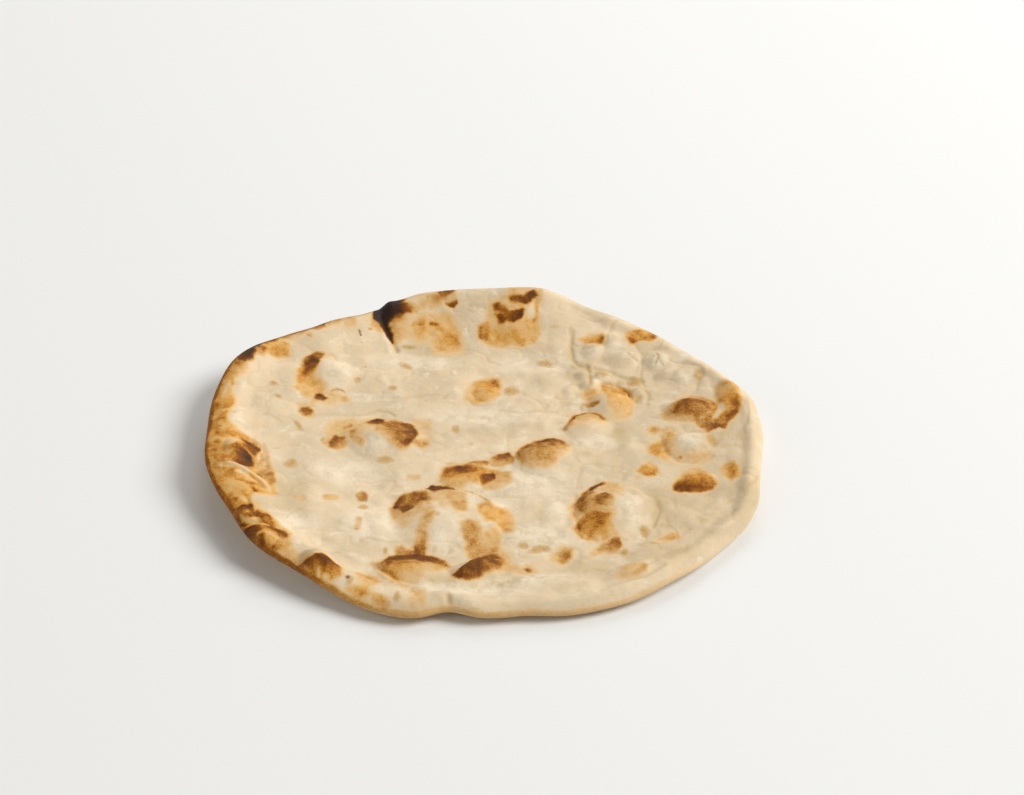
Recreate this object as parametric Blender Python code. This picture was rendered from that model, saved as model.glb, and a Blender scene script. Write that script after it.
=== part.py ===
"""Tannour bread: one round of leavened flatbread, baked on the wall of a clay oven.

The bread is a single thin body. Its underside is flat in the middle and rises to a lifted, wavy rim.
Its back edge is bent up in a fold, its left rim is puffed into a roll, and its upper face is blistered.
All lengths are millimetres until the mesh is finished. +X is the bread's right, +Y its back, +Z up.
"""

import math

import bmesh
import bpy
import numpy as np

MM = 0.001

# ---- driving dimensions ------------------------------------------------------------------------
BODY = 6.5             # thickness of the sheet of bread away from its blisters
EDGE_LINE = 3.0        # height of the outline's line above the underside beside it
TOP_ROUND = 7.0        # width over which the upper face rounds down to the outline
UNDER_ROUND = 5.0      # width over which the underside rounds up to the outline
REST_SHARE = 0.42      # share of each radius over which the underside is flat
DISH_POWER = 1.8       # how late the underside rises outside the flat: more is later

# Radius of the outline at each angle, counted in degrees from the right, through the back.
OUTLINE = [
    (0, 150.5), (9, 151.5), (14, 152), (20, 148.5), (29, 142.5), (45, 141.5), (58, 140.5), (65, 139),
    (70, 136.5), (74, 134), (80, 132.5), (92, 131), (100, 132), (107, 133.5), (112, 133.5), (116, 136),
    (122, 135), (130, 138), (136, 139), (142, 144), (149, 151.5), (154, 153.5), (165, 152), (180, 148),
    (190, 148), (198, 146), (206, 144), (216, 144.5), (228, 140.5), (240, 140.5), (249, 141),
    (257, 138.5), (263, 132.5), (269, 134.5), (280, 135), (288, 139), (300, 143), (314, 145.5),
    (325, 147.5), (336, 152), (341, 152), (346, 150), (353, 149),
]

# Height of the underside at the outline, by angle.
RIM_LIFT = [
    (0, 10), (20, 11), (40, 9), (60, 10), (76, 12), (110, 12), (130, 16), (150, 17), (180, 14),
    (200, 13), (220, 10), (240, 5), (270, 2.5), (300, 2.5), (330, 4), (345, 7),
]

# Small waves along the lifted rim: how many go round, their height, and the angle they start at.
RIM_WAVES = [(9, 0.55, 20), (14, 0.40, 75), (23, 0.22, 10)]

# Height that the puffed roll inside the outline adds, by angle, and its width.
ROLL_HEIGHT = [
    (0, 1.2), (60, 1.0), (100, 0.6), (125, 1.4), (150, 2.2), (180, 3.6), (210, 3.4), (240, 2.6),
    (270, 1.4), (300, 1.2), (330, 1.6),
]
ROLL_WIDTH = [(0, 12), (60, 13), (120, 14), (150, 18), (180, 26), (210, 30), (240, 22), (270, 14), (320, 14)]

# The fold: the back edge bent up, steeply behind a crease on its left and gently on its right.
FOLD_HEIGHT = 10.0
FOLD_LEFT_STEEP = (-65, -57)   # x over which the first half rises from the left, at the outline
FOLD_LEFT_GENTLE = (-60, -12)  # x over which the other half rises
FOLD_RIGHT = (32, 66)          # x over which it falls to the right
FOLD_LEAN = 0.3                # how far the left crease runs right for each length it runs forwards
FOLD_FRONT = 82                # y at which it starts to rise
FOLD_BACK = 130                # y at which it reaches its height

# Blisters: centre x, y, half length, half width, turn in degrees, height.
BLISTERS = {
    "great_dome": (-17, -66, 32, 28, 0, 5.5),
    "round_bubble": (69, -56, 21, 22, 0, 6.0),
    "arched_dome": (-55, 5, 24, 16, -12, 5.0),
    "centre_dome": (33, -11, 18, 14, 20, 5.5),
    "left_rim_dome": (-128, -17, 10, 10, 0, 4.0),
    "left_rim_fold": (-111, -33, 9, 7, -30, 3.0),
    "front_left_dome": (-82, -104, 10, 9, -20, 5.0),
    "front_dome": (-35, -106, 20, 10, -6, 4.5),
    "front_centre_dome": (-1, -103, 17, 9, 14, 4.5),
    "rim_pair": (-122, -71, 8, 6, -40, 2.4),
    "rim_corner": (-111, -87, 9, 9, 0, 3.0),
    "back_left_blister": (-85, 60, 15, 14, 0, 3.4),
    "middle_row": (-8, -27, 15, 7, 15, 2.2),
    "right_arch": (111, 30, 15, 10, -10, 4.0),
    "right_rim_swell": (135, 36, 8, 17, 0, 2.8),
    "pale_dome": (109, -2, 15, 13, 0, 3.8),
    "right_bean": (113, -34, 12, 8, 18, 3.0),
    "pink_arch": (57, 16, 14, 12, 0, 3.4),
    "double_arch": (69, 38, 14, 13, -20, 4.0),
    "small_back_bump": (59, 58, 7, 6, 0, 2.0),
    "back_bump": (56, 66, 6, 5, 0, 1.8),
    "front_right_ridge": (76, -104, 14, 7, 20, 2.6),
    "back_centre_blister": (1, 51, 8, 8, 0, 2.0),
    "fold_patch": (17, 110, 15, 20, 0, 1.8),
}

# Broad soft swellings of the upper face, in the same terms.
SWELLINGS = {
    "back_pillow": (75, 88, 24, 16, 0, 3.0),
    "back_right_pillow": (101, 72, 14, 13, 0, 2.4),
    "fold_foot": (36, 82, 15, 18, 0, 1.6),
    "left_field": (-98, 12, 30, 24, 0, 1.4),
    "front_left_field": (-72, -68, 34, 24, -20, 1.8),
    "back_field": (-32, 52, 42, 24, 0, 1.8),
    "middle_field": (24, -44, 22, 15, 0, 1.4),
    "right_field": (112, -70, 24, 18, -40, 1.8),
    "front_field": (34, -116, 32, 12, 0, 1.4),
}
CREST_SHIFT = 0.28     # share of its half width by which a blister's crest lies behind its centre
BLISTER_POWER = 1.35   # fullness of a blister's section: less is fuller
SWELLING_POWER = 2.2   # and of a swelling's

DOUGH_COLOUR = (0.76, 0.62, 0.41, 1.0)
DOUGH_ROUGHNESS = 0.72

# ---- mesh fineness ------------------------------------------------------------------------------
TOP_RINGS = 38         # rings of triangles on the upper face
UNDER_RINGS = 19       # and on the underside, which meets every second point of the outline
EDGE_CROWDING = 0.06   # how closely the rings crowd to the outline: less is closer
FAN_SIDES = 6          # sides of the fan that each face is cut from
FAN_SECTOR = 60.0      # degrees that each side of the fan spans
FAN_CORNER = 30.0      # angle of the fan's first corner
WELD = 0.01            # distance within which points of the two faces are one


def step(value, start, end):
    """Rises smoothly from 0 at start to 1 at end."""
    share = np.clip((value - start) / (end - start), 0.0, 1.0)
    return share * share * (3 - 2 * share)


def around(table, angle):
    """Reads a closed, smooth curve through (angle, value) pairs at angles in degrees."""
    places = np.array([pair[0] for pair in table], float)
    values = np.array([pair[1] for pair in table], float)
    places = np.concatenate((places[-2:] - 360, places, places[:2] + 360))
    values = np.concatenate((values[-2:], values, values[:2]))
    slopes = np.gradient(values, places)
    angle = np.asarray(angle) % 360
    left = np.clip(np.searchsorted(places, angle, side="right") - 1, 0, len(places) - 2)
    span = places[left + 1] - places[left]
    share = (angle - places[left]) / span
    rise = share * share * (3 - 2 * share)
    return (
        (1 - rise) * values[left]
        + rise * values[left + 1]
        + share * (1 - share) ** 2 * span * slopes[left]
        - share**2 * (1 - share) * span * slopes[left + 1]
    )


def rounding(distance, width):
    """A quarter-round section, 0 at the outline and 1 from the given distance inwards."""
    share = np.clip(distance / width, 0.0, 1.0)
    return np.sqrt(1 - (1 - share) ** 2)


def dome(x, y, shape, power):
    """A raised patch with its crest behind its centre, 0 to 1."""
    centre_x, centre_y, length, width, turn, _ = shape
    cosine = math.cos(math.radians(turn))
    sine = math.sin(math.radians(turn))
    along = ((x - centre_x) * cosine + (y - centre_y) * sine) / length
    across = ((y - centre_y) * cosine - (x - centre_x) * sine) / width
    across = across - CREST_SHIFT * np.clip(1 - across**2, 0.0, 1.0)
    return np.clip(1 - along**2 - across**2, 0.0, 1.0) ** power


def fold(x, y):
    """The bent-up back edge, 0 to 1."""
    along = x - FOLD_LEAN * (FOLD_BACK - y)
    left = (step(along, *FOLD_LEFT_STEEP) + step(along, *FOLD_LEFT_GENTLE)) / 2
    return left * (1 - step(x, *FOLD_RIGHT)) * step(y, FOLD_FRONT, FOLD_BACK)


def rim_height(angle):
    """The height of the underside at the outline, with its small waves."""
    height = around(RIM_LIFT, angle)
    for count, amount, start in RIM_WAVES:
        height = height + amount * np.sin(np.radians(count * (angle - start)))
    return height


def underside_height(x, y, share, angle):
    """The height of the dished underside, without its rounded edge."""
    outside = np.clip((share - REST_SHARE) / (1 - REST_SHARE), 0.0, 1.0)
    return rim_height(angle) * outside**DISH_POWER + FOLD_HEIGHT * fold(x, y)


def upper_thickness(x, y, distance, angle):
    """The thickness of the bread, with the rim's roll, the swellings and the blisters."""
    width = around(ROLL_WIDTH, angle)
    roll = np.sin(math.pi * np.clip(distance / width, 0.0, 1.0)) ** 2
    thickness = BODY + around(ROLL_HEIGHT, angle) * roll
    for shape in SWELLINGS.values():
        thickness = thickness + shape[-1] * dome(x, y, shape, SWELLING_POWER)
    raised = np.zeros_like(thickness)
    for shape in BLISTERS.values():
        raised = np.maximum(raised, shape[-1] * dome(x, y, shape, BLISTER_POWER))
    return thickness + raised


def face_points(flat, upper):
    """Moves points of a unit disc, given as share of the radius and angle, onto one face of the bread."""
    share, angle = flat
    radius = around(OUTLINE, angle)
    distance = (1 - share) * radius
    x = share * radius * np.cos(np.radians(angle))
    y = share * radius * np.sin(np.radians(angle))
    floor = underside_height(x, y, share, angle)
    if upper:
        top = upper_thickness(x, y, distance, angle)
        z = floor + EDGE_LINE + (top - EDGE_LINE) * rounding(distance, TOP_ROUND)
    else:
        z = floor + EDGE_LINE * (1 - rounding(distance, UNDER_ROUND))
    return np.stack((x, y, z), axis=-1)


def disc(rings):
    """An even disc of triangles: a fan of triangles, each side of it cut into the given number of parts."""
    mesh = bmesh.new()
    bmesh.ops.create_circle(mesh, cap_ends=True, cap_tris=True, segments=FAN_SIDES, radius=1.0)
    bmesh.ops.subdivide_edges(mesh, edges=mesh.edges[:], cuts=rings - 1, use_grid_fill=True)
    return mesh


def disc_polar(points):
    """Reads points of the fan as share of the radius and angle, with the rings crowded to the outline."""
    angle = np.degrees(np.arctan2(points[:, 1], points[:, 0])) % 360
    from_side = np.radians((angle - FAN_CORNER) % FAN_SECTOR - FAN_SECTOR / 2)
    side_distance = math.cos(math.radians(FAN_SECTOR / 2))
    share = np.hypot(points[:, 0], points[:, 1]) * np.cos(from_side) / side_distance
    inwards = np.clip(1 - share, 0.0, 1.0)
    inwards = inwards**2 / (inwards + EDGE_CROWDING) * (1 + EDGE_CROWDING)
    return 1 - inwards, angle


def bread_face(rings, upper):
    """One face of the bread as an open mesh of triangles."""
    mesh = disc(rings)
    if not upper:
        outline = [edge for edge in mesh.edges if edge.is_boundary]
        bmesh.ops.subdivide_edges(mesh, edges=outline, cuts=TOP_RINGS // UNDER_RINGS - 1)
        bmesh.ops.triangulate(mesh, faces=mesh.faces[:])
    flat = disc_polar(np.array([vertex.co[:] for vertex in mesh.verts]))
    for vertex, place in zip(mesh.verts, face_points(flat, upper)):
        vertex.co = place
    return mesh


def bread_mesh():
    """Both faces joined along the outline, centred on their box, in metres."""
    upper = bread_face(TOP_RINGS, True)
    under = bread_face(UNDER_RINGS, False)
    bmesh.ops.reverse_faces(under, faces=under.faces[:])
    joined = bpy.data.meshes.new("tannour_bread")
    under.to_mesh(joined)
    upper.from_mesh(joined)
    under.free()
    bmesh.ops.remove_doubles(upper, verts=upper.verts[:], dist=WELD)
    points = np.array([vertex.co[:] for vertex in upper.verts])
    middle = (points.min(axis=0) + points.max(axis=0)) / 2
    bmesh.ops.translate(upper, verts=upper.verts[:], vec=(-middle[0], -middle[1], 0.0))
    bmesh.ops.scale(upper, verts=upper.verts[:], vec=(MM, MM, MM))
    upper.to_mesh(joined)
    upper.free()
    joined.shade_smooth()
    return joined


def baked_dough():
    """The plain material of baked dough."""
    material = bpy.data.materials.new("baked_dough")
    material.use_nodes = True
    shader = material.node_tree.nodes["Principled BSDF"]
    shader.inputs["Base Color"].default_value = DOUGH_COLOUR
    shader.inputs["Roughness"].default_value = DOUGH_ROUGHNESS
    shader.inputs["Metallic"].default_value = 0.0
    return material


def main():
    for existing in list(bpy.data.objects):
        bpy.data.objects.remove(existing, do_unlink=True)
    mesh = bread_mesh()
    mesh.materials.append(baked_dough())
    bread = bpy.data.objects.new("tannour_bread", mesh)
    bpy.context.scene.collection.objects.link(bread)


main()
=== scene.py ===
"""The looks of a tannour bread: its fine surface, its scorch marks and floury patches, on a pale floor.

The bread is modelled in millimetres and turned into metres at the end. +X is its right, +Y its back,
+Z up. Angles count in degrees from the right, through the back.
"""

import math

import bmesh
import bpy
import numpy as np
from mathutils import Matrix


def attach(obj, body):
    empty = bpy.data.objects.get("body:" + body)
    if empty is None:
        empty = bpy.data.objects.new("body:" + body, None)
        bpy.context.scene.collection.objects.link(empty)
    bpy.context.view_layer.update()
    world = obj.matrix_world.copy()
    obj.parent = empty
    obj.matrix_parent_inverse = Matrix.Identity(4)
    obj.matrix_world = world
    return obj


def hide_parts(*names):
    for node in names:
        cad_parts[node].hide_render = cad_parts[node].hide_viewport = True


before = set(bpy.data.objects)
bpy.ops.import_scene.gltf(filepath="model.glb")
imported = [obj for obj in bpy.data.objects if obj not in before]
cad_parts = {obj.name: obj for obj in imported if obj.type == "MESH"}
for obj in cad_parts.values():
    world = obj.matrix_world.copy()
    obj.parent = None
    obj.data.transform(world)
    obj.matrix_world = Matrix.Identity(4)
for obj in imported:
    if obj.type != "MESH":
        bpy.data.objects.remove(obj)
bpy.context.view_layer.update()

MM = 0.001

# ---- the sheet of bread -------------------------------------------------------------------------
BODY = 6.5             # thickness of the sheet of bread away from its blisters
EDGE_LINE = 3.0        # height of the outline's line above the underside beside it
TOP_ROUND = 7.0        # width over which the upper face rounds down to the outline
UNDER_ROUND = 5.0      # width over which the underside rounds up to the outline
REST_SHARE = 0.42      # share of each radius over which the underside is flat
DISH_POWER = 1.8       # how late the underside rises outside the flat: more is later

# Radius of the outline at each angle.
OUTLINE = [
    (0, 150.5), (9, 151.5), (14, 152), (20, 148.5), (29, 142.5), (45, 141.5), (58, 140.5), (65, 139),
    (70, 136.5), (74, 134), (80, 132.5), (92, 131), (100, 132), (107, 133.5), (112, 133.5), (116, 136),
    (122, 135), (130, 138), (136, 139), (142, 144), (149, 151.5), (154, 153.5), (165, 152), (180, 148),
    (190, 148), (198, 146), (206, 144), (216, 144.5), (228, 140.5), (240, 140.5), (249, 141),
    (257, 138.5), (263, 132.5), (269, 134.5), (280, 135), (288, 139), (300, 143), (314, 145.5),
    (325, 147.5), (336, 152), (341, 152), (346, 150), (353, 149),
]

# Height of the underside at the outline, by angle.
RIM_LIFT = [
    (0, 10), (20, 11), (40, 9), (60, 10), (76, 12), (110, 12), (130, 16), (150, 17), (180, 14),
    (200, 13), (220, 10), (240, 5), (270, 2.5), (300, 2.5), (330, 4), (345, 7),
]

# Small waves along the lifted rim: how many go round, their height, and the angle they start at.
RIM_WAVES = [(9, 0.55, 20), (14, 0.40, 75), (23, 0.22, 10)]

# Height that the puffed roll inside the outline adds, by angle, and its width.
ROLL_HEIGHT = [
    (0, 1.2), (60, 1.0), (100, 0.6), (125, 1.4), (150, 2.2), (180, 3.6), (210, 3.4), (240, 2.6),
    (270, 1.4), (300, 1.2), (330, 1.6),
]
ROLL_WIDTH = [
    (0, 12), (60, 13), (120, 14), (150, 18), (180, 26), (210, 30), (240, 22), (270, 14), (320, 14),
]

# The fold: the back edge bent up, steeply behind a crease on its left and gently on its right.
FOLD_HEIGHT = 10.0
FOLD_LEFT_STEEP = (-65, -57)   # x over which the first half rises from the left, at the outline
FOLD_LEFT_GENTLE = (-60, -12)  # x over which the other half rises
FOLD_RIGHT = (32, 66)          # x over which it falls to the right
FOLD_LEAN = 0.3                # how far the left crease runs right for each length it runs forwards
FOLD_FRONT = 82                # y at which it starts to rise
FOLD_BACK = 130                # y at which it reaches its height

# Blisters: centre x, y, half length, half width, turn in degrees, height.
BLISTERS = {
    "great_dome": (-17, -66, 32, 28, 0, 5.5),
    "round_bubble": (69, -56, 21, 22, 0, 6.0),
    "arched_dome": (-55, 5, 24, 16, -12, 5.0),
    "centre_dome": (33, -11, 18, 14, 20, 5.5),
    "left_rim_dome": (-128, -17, 10, 10, 0, 4.0),
    "left_rim_fold": (-111, -33, 9, 7, -30, 3.0),
    "front_left_dome": (-82, -104, 10, 9, -20, 5.0),
    "front_dome": (-35, -106, 20, 10, -6, 4.5),
    "front_centre_dome": (-1, -103, 17, 9, 14, 4.5),
    "rim_pair": (-122, -71, 8, 6, -40, 2.4),
    "rim_corner": (-111, -87, 9, 9, 0, 3.0),
    "back_left_blister": (-85, 60, 15, 14, 0, 3.4),
    "middle_row": (-8, -27, 15, 7, 15, 2.2),
    "right_arch": (111, 30, 15, 10, -10, 4.0),
    "right_rim_swell": (135, 36, 8, 17, 0, 2.8),
    "pale_dome": (109, -2, 15, 13, 0, 3.8),
    "right_bean": (113, -34, 12, 8, 18, 3.0),
    "pink_arch": (57, 16, 14, 12, 0, 3.4),
    "double_arch": (69, 38, 14, 13, -20, 4.0),
    "small_back_bump": (59, 58, 7, 6, 0, 2.0),
    "back_bump": (56, 66, 6, 5, 0, 1.8),
    "front_right_ridge": (76, -104, 14, 7, 20, 2.6),
    "back_centre_blister": (1, 51, 8, 8, 0, 2.0),
    "fold_patch": (17, 110, 15, 20, 0, 1.8),
}

# Broad soft swellings of the upper face, in the same terms.
SWELLINGS = {
    "back_pillow": (75, 88, 24, 16, 0, 3.0),
    "back_right_pillow": (101, 72, 14, 13, 0, 2.4),
    "fold_foot": (36, 82, 15, 18, 0, 1.6),
    "left_field": (-98, 12, 30, 24, 0, 1.4),
    "front_left_field": (-72, -68, 34, 24, -20, 1.8),
    "back_field": (-32, 52, 42, 24, 0, 1.8),
    "middle_field": (24, -44, 22, 15, 0, 1.4),
    "right_field": (112, -70, 24, 18, -40, 1.8),
    "front_field": (34, -116, 32, 12, 0, 1.4),
}
CREST_SHIFT = 0.28     # share of its half width by which a blister's crest lies behind its centre
BLISTER_POWER = 1.35   # fullness of a blister's section: less is fuller
SWELLING_POWER = 2.2   # and of a swelling's

# ---- fine relief of the surface -----------------------------------------------------------------
# Creases: depth, half width, and the points each one runs through.
CREASES = {
    "fold_crease": (1.3, 1.6, [(-60, 112), (-57, 104), (-53, 95), (-50, 87)]),
    "pillow_crease": (0.9, 1.4, [(50, 103), (49, 92), (50, 82), (53, 76), (58, 75)]),
    "pillow_foot": (0.9, 1.3, [(58, 76), (59, 68), (59, 58)]),
    "pillow_front": (0.7, 1.7, [(62, 73), (71, 70), (77, 64), (85, 60)]),
    "pillow_gap": (0.4, 1.3, [(84, 92), (88, 84), (89, 74), (87, 62), (90, 50)]),
    "double_arch_edge": (0.9, 1.2, [(66, 60), (73, 58), (80, 50), (82, 40), (79, 31)]),
    "small_ring": (0.7, 1.2, [(81, 49), (86, 53), (91, 47), (90, 38)]),
    "ring_line": (0.8, 0.8, [(97, 82), (98, 76), (96, 71)]),
    "back_wrinkle": (0.6, 1.0, [(-72, 30.5), (-65, 32), (-59, 36), (-52, 34), (-49, 31)]),
    "back_wrinkle_long": (0.35, 0.9, [(-95, 26), (-84, 29), (-72, 30)]),
    "left_wrinkle": (0.35, 0.8, [(-120, 23), (-115, 21.5), (-110, 18)]),
    "left_wrinkle_low": (0.35, 0.8, [(-105, 21), (-101, 16), (-97, 12)]),
    "left_short_wrinkle": (0.4, 0.8, [(-106, -1), (-101, 0), (-96, -1.5)]),
    "centre_back_wrinkle": (0.3, 1.0, [(-58, 47), (-46, 46), (-32, 49), (-22, 48)]),
    "front_left_wrinkle": (0.3, 0.8, [(-84, -74), (-77, -75), (-70, -73.5)]),
    "front_left_wrinkle_low": (0.3, 0.8, [(-80, -82), (-73, -84), (-66, -83)]),
    "dome_wrinkle": (0.4, 0.9, [(-62, -79), (-56, -78), (-50, -80), (-43, -80)]),
    "right_rim_groove": (0.35, 1.2, [(143, 31), (144, 22), (142.5, 12)]),
    "right_rim_crease": (0.5, 0.9, [(138, -41), (142, -37), (145, -31)]),
    "pale_dome_edge": (0.6, 1.5, [(96, 10), (98, -6), (104, -14), (114, -17), (122, -12)]),
    "bubble_right_edge": (0.7, 1.6, [(90, -44), (92, -54), (88, -66)]),
    "bubble_foot": (0.8, 1.6, [(49, -40), (47, -54), (50, -68), (58, -77)]),
    "front_right_wrinkle": (0.5, 1.1, [(50, -92), (60, -89), (68, -88), (76, -90)]),
    "front_right_step": (0.6, 1.1, [(73, -112), (82, -110), (92, -102)]),
    "front_right_wrinkle_far": (0.35, 1.1, [(92, -80), (100, -76), (107, -70)]),
    "front_wrinkle": (0.35, 1.1, [(20, -104), (30, -108), (42, -107)]),
    "front_wrinkle_low": (0.4, 1.2, [(48, -104), (56, -101), (64, -103)]),
    "left_rim_fold": (0.8, 1.3, [(-135, 16), (-143, 13), (-149, 14)]),
    "left_rim_fold_high": (0.7, 1.3, [(-136, 40), (-142, 38), (-146, 41)]),
    "rim_corner_fold": (0.8, 1.2, [(-116, -84), (-109, -84), (-101, -87)]),
    "left_rim_groove": (1.2, 1.3, [(-136, -31), (-127, -33), (-119, -38), (-113, -44)]),
    "left_rim_groove_high": (0.7, 1.2, [(-118, -3), (-116.5, -14), (-114, -24)]),
    "left_rim_front": (0.8, 1.6, [(-118, -49), (-121, -57), (-119, -64)]),
    "rim_pair_gap": (1.2, 1.2, [(-128, -74), (-121, -76), (-113, -76)]),
    "front_step": (0.7, 1.2, [(-52, -103), (-46, -108), (-41, -113)]),
    "front_pinch": (1.6, 2.0, [(-17, -136), (-15.5, -131), (-16, -126)]),
    "middle_wrinkle": (0.4, 1.2, [(8, 36), (20, 33), (30, 36), (40, 34)]),
    "middle_wrinkle_far": (0.35, 1.2, [(22, 50), (30, 44), (34, 37)]),
}

# Sharp steps behind the largest blisters: height, half width, and the line along the foot of each.
RIDGES = {
    "arched_dome_back": (1.3, 2.2, [(-64, 23), (-56, 24.5), (-48, 22), (-40, 16)]),
    "centre_dome_back": (1.3, 2.2, [(22, -1), (29, 4.5), (37, 6.5), (43, 4)]),
    "great_dome_back": (1.3, 2.0, [(-42, -40), (-30, -35), (-18, -36), (-5, -39), (5, -47)]),
    "front_dome_back": (1.4, 1.8, [(-48, -98), (-39, -94.5), (-28, -96), (-20, -100)]),
    "front_left_dome_back": (1.3, 1.8, [(-89, -106), (-82, -104), (-75, -106.5)]),
    "front_centre_back": (1.1, 1.8, [(-9, -104), (-1, -96), (9, -92)]),
    "bubble_back": (1.3, 2.2, [(54, -42), (61, -35), (70, -33), (80, -36), (87, -44)]),
    "right_arch_back": (1.1, 2.0, [(100, 30), (108, 37), (117, 36)]),
    "pink_arch_back": (1.1, 1.6, [(46, 20), (51, 29), (58, 31)]),
    "front_lip": (1.0, 2.2, [(-52, -104), (-46, -110), (-38, -115), (-28, -117)]),
    "left_fold_lip": (1.3, 1.4, [(-135, -29), (-125, -30.5), (-117, -35), (-111, -43)]),
    "front_right_lip": (1.1, 1.8, [(66, -108), (78, -106), (90, -98)]),
}

# Low pillows between the creases: centre x, y, half length, half width, turn in degrees, height.
PILLOWS = [
    (61, 86, 7, 8, 0, 1.8), (78, 78, 12, 7, 0, 2.2), (54, 69, 5, 5, 0, 0.9), (86, 49, 6, 5, 0, 1.5),
    (97, 73, 7, 8, 0, 1.3), (32, 67, 14, 9, 0, 1.8), (103, 59, 9, 7, 0, 1.5), (66, 66, 5, 4, 0, 1.4),
    (48, 53, 5, 6, 0, 1.3), (113, 58, 8, 8, 0, 1.4), (92, 90, 7, 5, 0, 1.4), (72, 94, 6, 8, 0, 1.3),
    (42, 90, 7, 12, 0, 0.9), (-86, 30, 16, 7, 10, 0.8), (26, 24, 18, 8, 15, 0.9),
    (-24, 20, 9, 10, 0, 0.8), (0, 16, 10, 8, 0, 0.8), (48, -8, 8, 12, 0, 0.8), (80, -4, 8, 12, 0, 0.9),
    (102, -60, 9, 9, 0, 0.9), (122, -56, 9, 8, 40, 0.9), (84, -92, 11, 6, 15, 0.9),
    (-66, -40, 9, 10, 0, 0.8), (-52, -66, 8, 9, 0, 0.8), (-92, -26, 9, 11, 0, 0.9),
    (-86, -62, 10, 8, -20, 0.9), (-66, -96, 11, 6, -10, 0.9), (18, -74, 7, 9, 0, 0.7),
    (36, -60, 8, 10, 0, 0.8), (-58, 62, 13, 8, 0, 0.9), (-28, 72, 14, 8, 0, 0.8),
    (-108, 58, 8, 10, 0, 0.8), (-118, 30, 9, 10, 0, 0.8), (30, -92, 9, 5, 0, 0.7),
    (-20, -124, 9, 4, 0, 0.7), (12, -122, 12, 5, 0, 0.9), (50, 113, 12, 6, -12, 0.9),
    (74, 108, 9, 6, -25, 1), (101, 95, 8, 6, -40, 1), (118, 79, 7, 8, 0, 1), (131, 62, 6, 8, 0, 0.8),
    (142, 2, 5, 9, 0, 0.8), (138, -40, 6, 8, 0, 0.8), (126, -66, 8, 6, 40, 0.8),
    (70, -118, 12, 5, 18, 0.8), (48, -116, 14, 6, 8, 0.9), (98, -94, 14, 6, 35, 0.9),
    (134, -20, 5, 14, 0, 0.8),
]
PILLOW_POWER = 1.2     # fullness of a pillow's section

DEPTH_SHARE = 0.9      # the bread's depth as a share of its width, for what is scattered over it
RELIEF_SEED = 11
RELIEF_FADE = 5.0      # distance from the outline over which the fine relief sets in
SMALL_BUBBLES = 210
SMALL_BUBBLE_REACH = 132           # greatest distance of a small bubble's centre from the middle
SMALL_BUBBLE_RADIUS = (2.2, 6.5)
SMALL_BUBBLE_NARROWING = (0.6, 1.0)
SMALL_BUBBLE_TURN = 40
SMALL_BUBBLE_HEIGHT = 0.11         # height of a full small bubble as a share of its radius
SMALL_BUBBLE_FULLNESS = (0.4, 1.0)
SMALL_BUBBLE_POWER = 1.5
PILLOW_BUBBLES = 46                # more of them in the pillowy back right
PILLOW_CENTRE = (78, 64)
PILLOW_SPREAD = (26, 20)
PILLOW_REACH = (44, 34)
UNEVENNESS = [(26.0, 0.55), (11.0, 0.34), (5.0, 0.16)]   # wavelength and height
WRINKLES = [(17.0, 0.10, 0.05), (10.0, 0.13, 0.15)]      # wavelength, half width, and how few they are
WRINKLE_WARP = ((9.0, 3.0), (7.0, 2.0))   # wavelength and reach of their raggedness in x and in y
WRINKLE_FLATNESS = 1.5   # how much longer they run along x than along y
WRINKLE_SPREAD = 1.1     # how far apart the places with wrinkles lie, in their wavelengths
WRINKLE_FADE = 0.35      # how softly they end at those places
WRINKLE_DEPTH = 0.32
WRINKLE_SEED = 47
LEDGE_WIDTHS = (0.45, 2.2)   # reach of a sharp step behind its line and in front, in its half widths
CREASE_DEPTH = 0.90    # share of its stated depth that each crease has
CREASE_WIDTH = 0.75    # and of its stated half width
UNDER_UNEVENNESS = [(30.0, 0.5), (9.0, 0.35)]
UNDER_RELIEF_FADE = 6.0
LATTICE = 256            # points on each side of the grid of random values behind every waviness
LATTICE_START = (128.37, 128.61)
TINY = 1e-6              # added or put in where a distance or a cover could be 0

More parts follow.
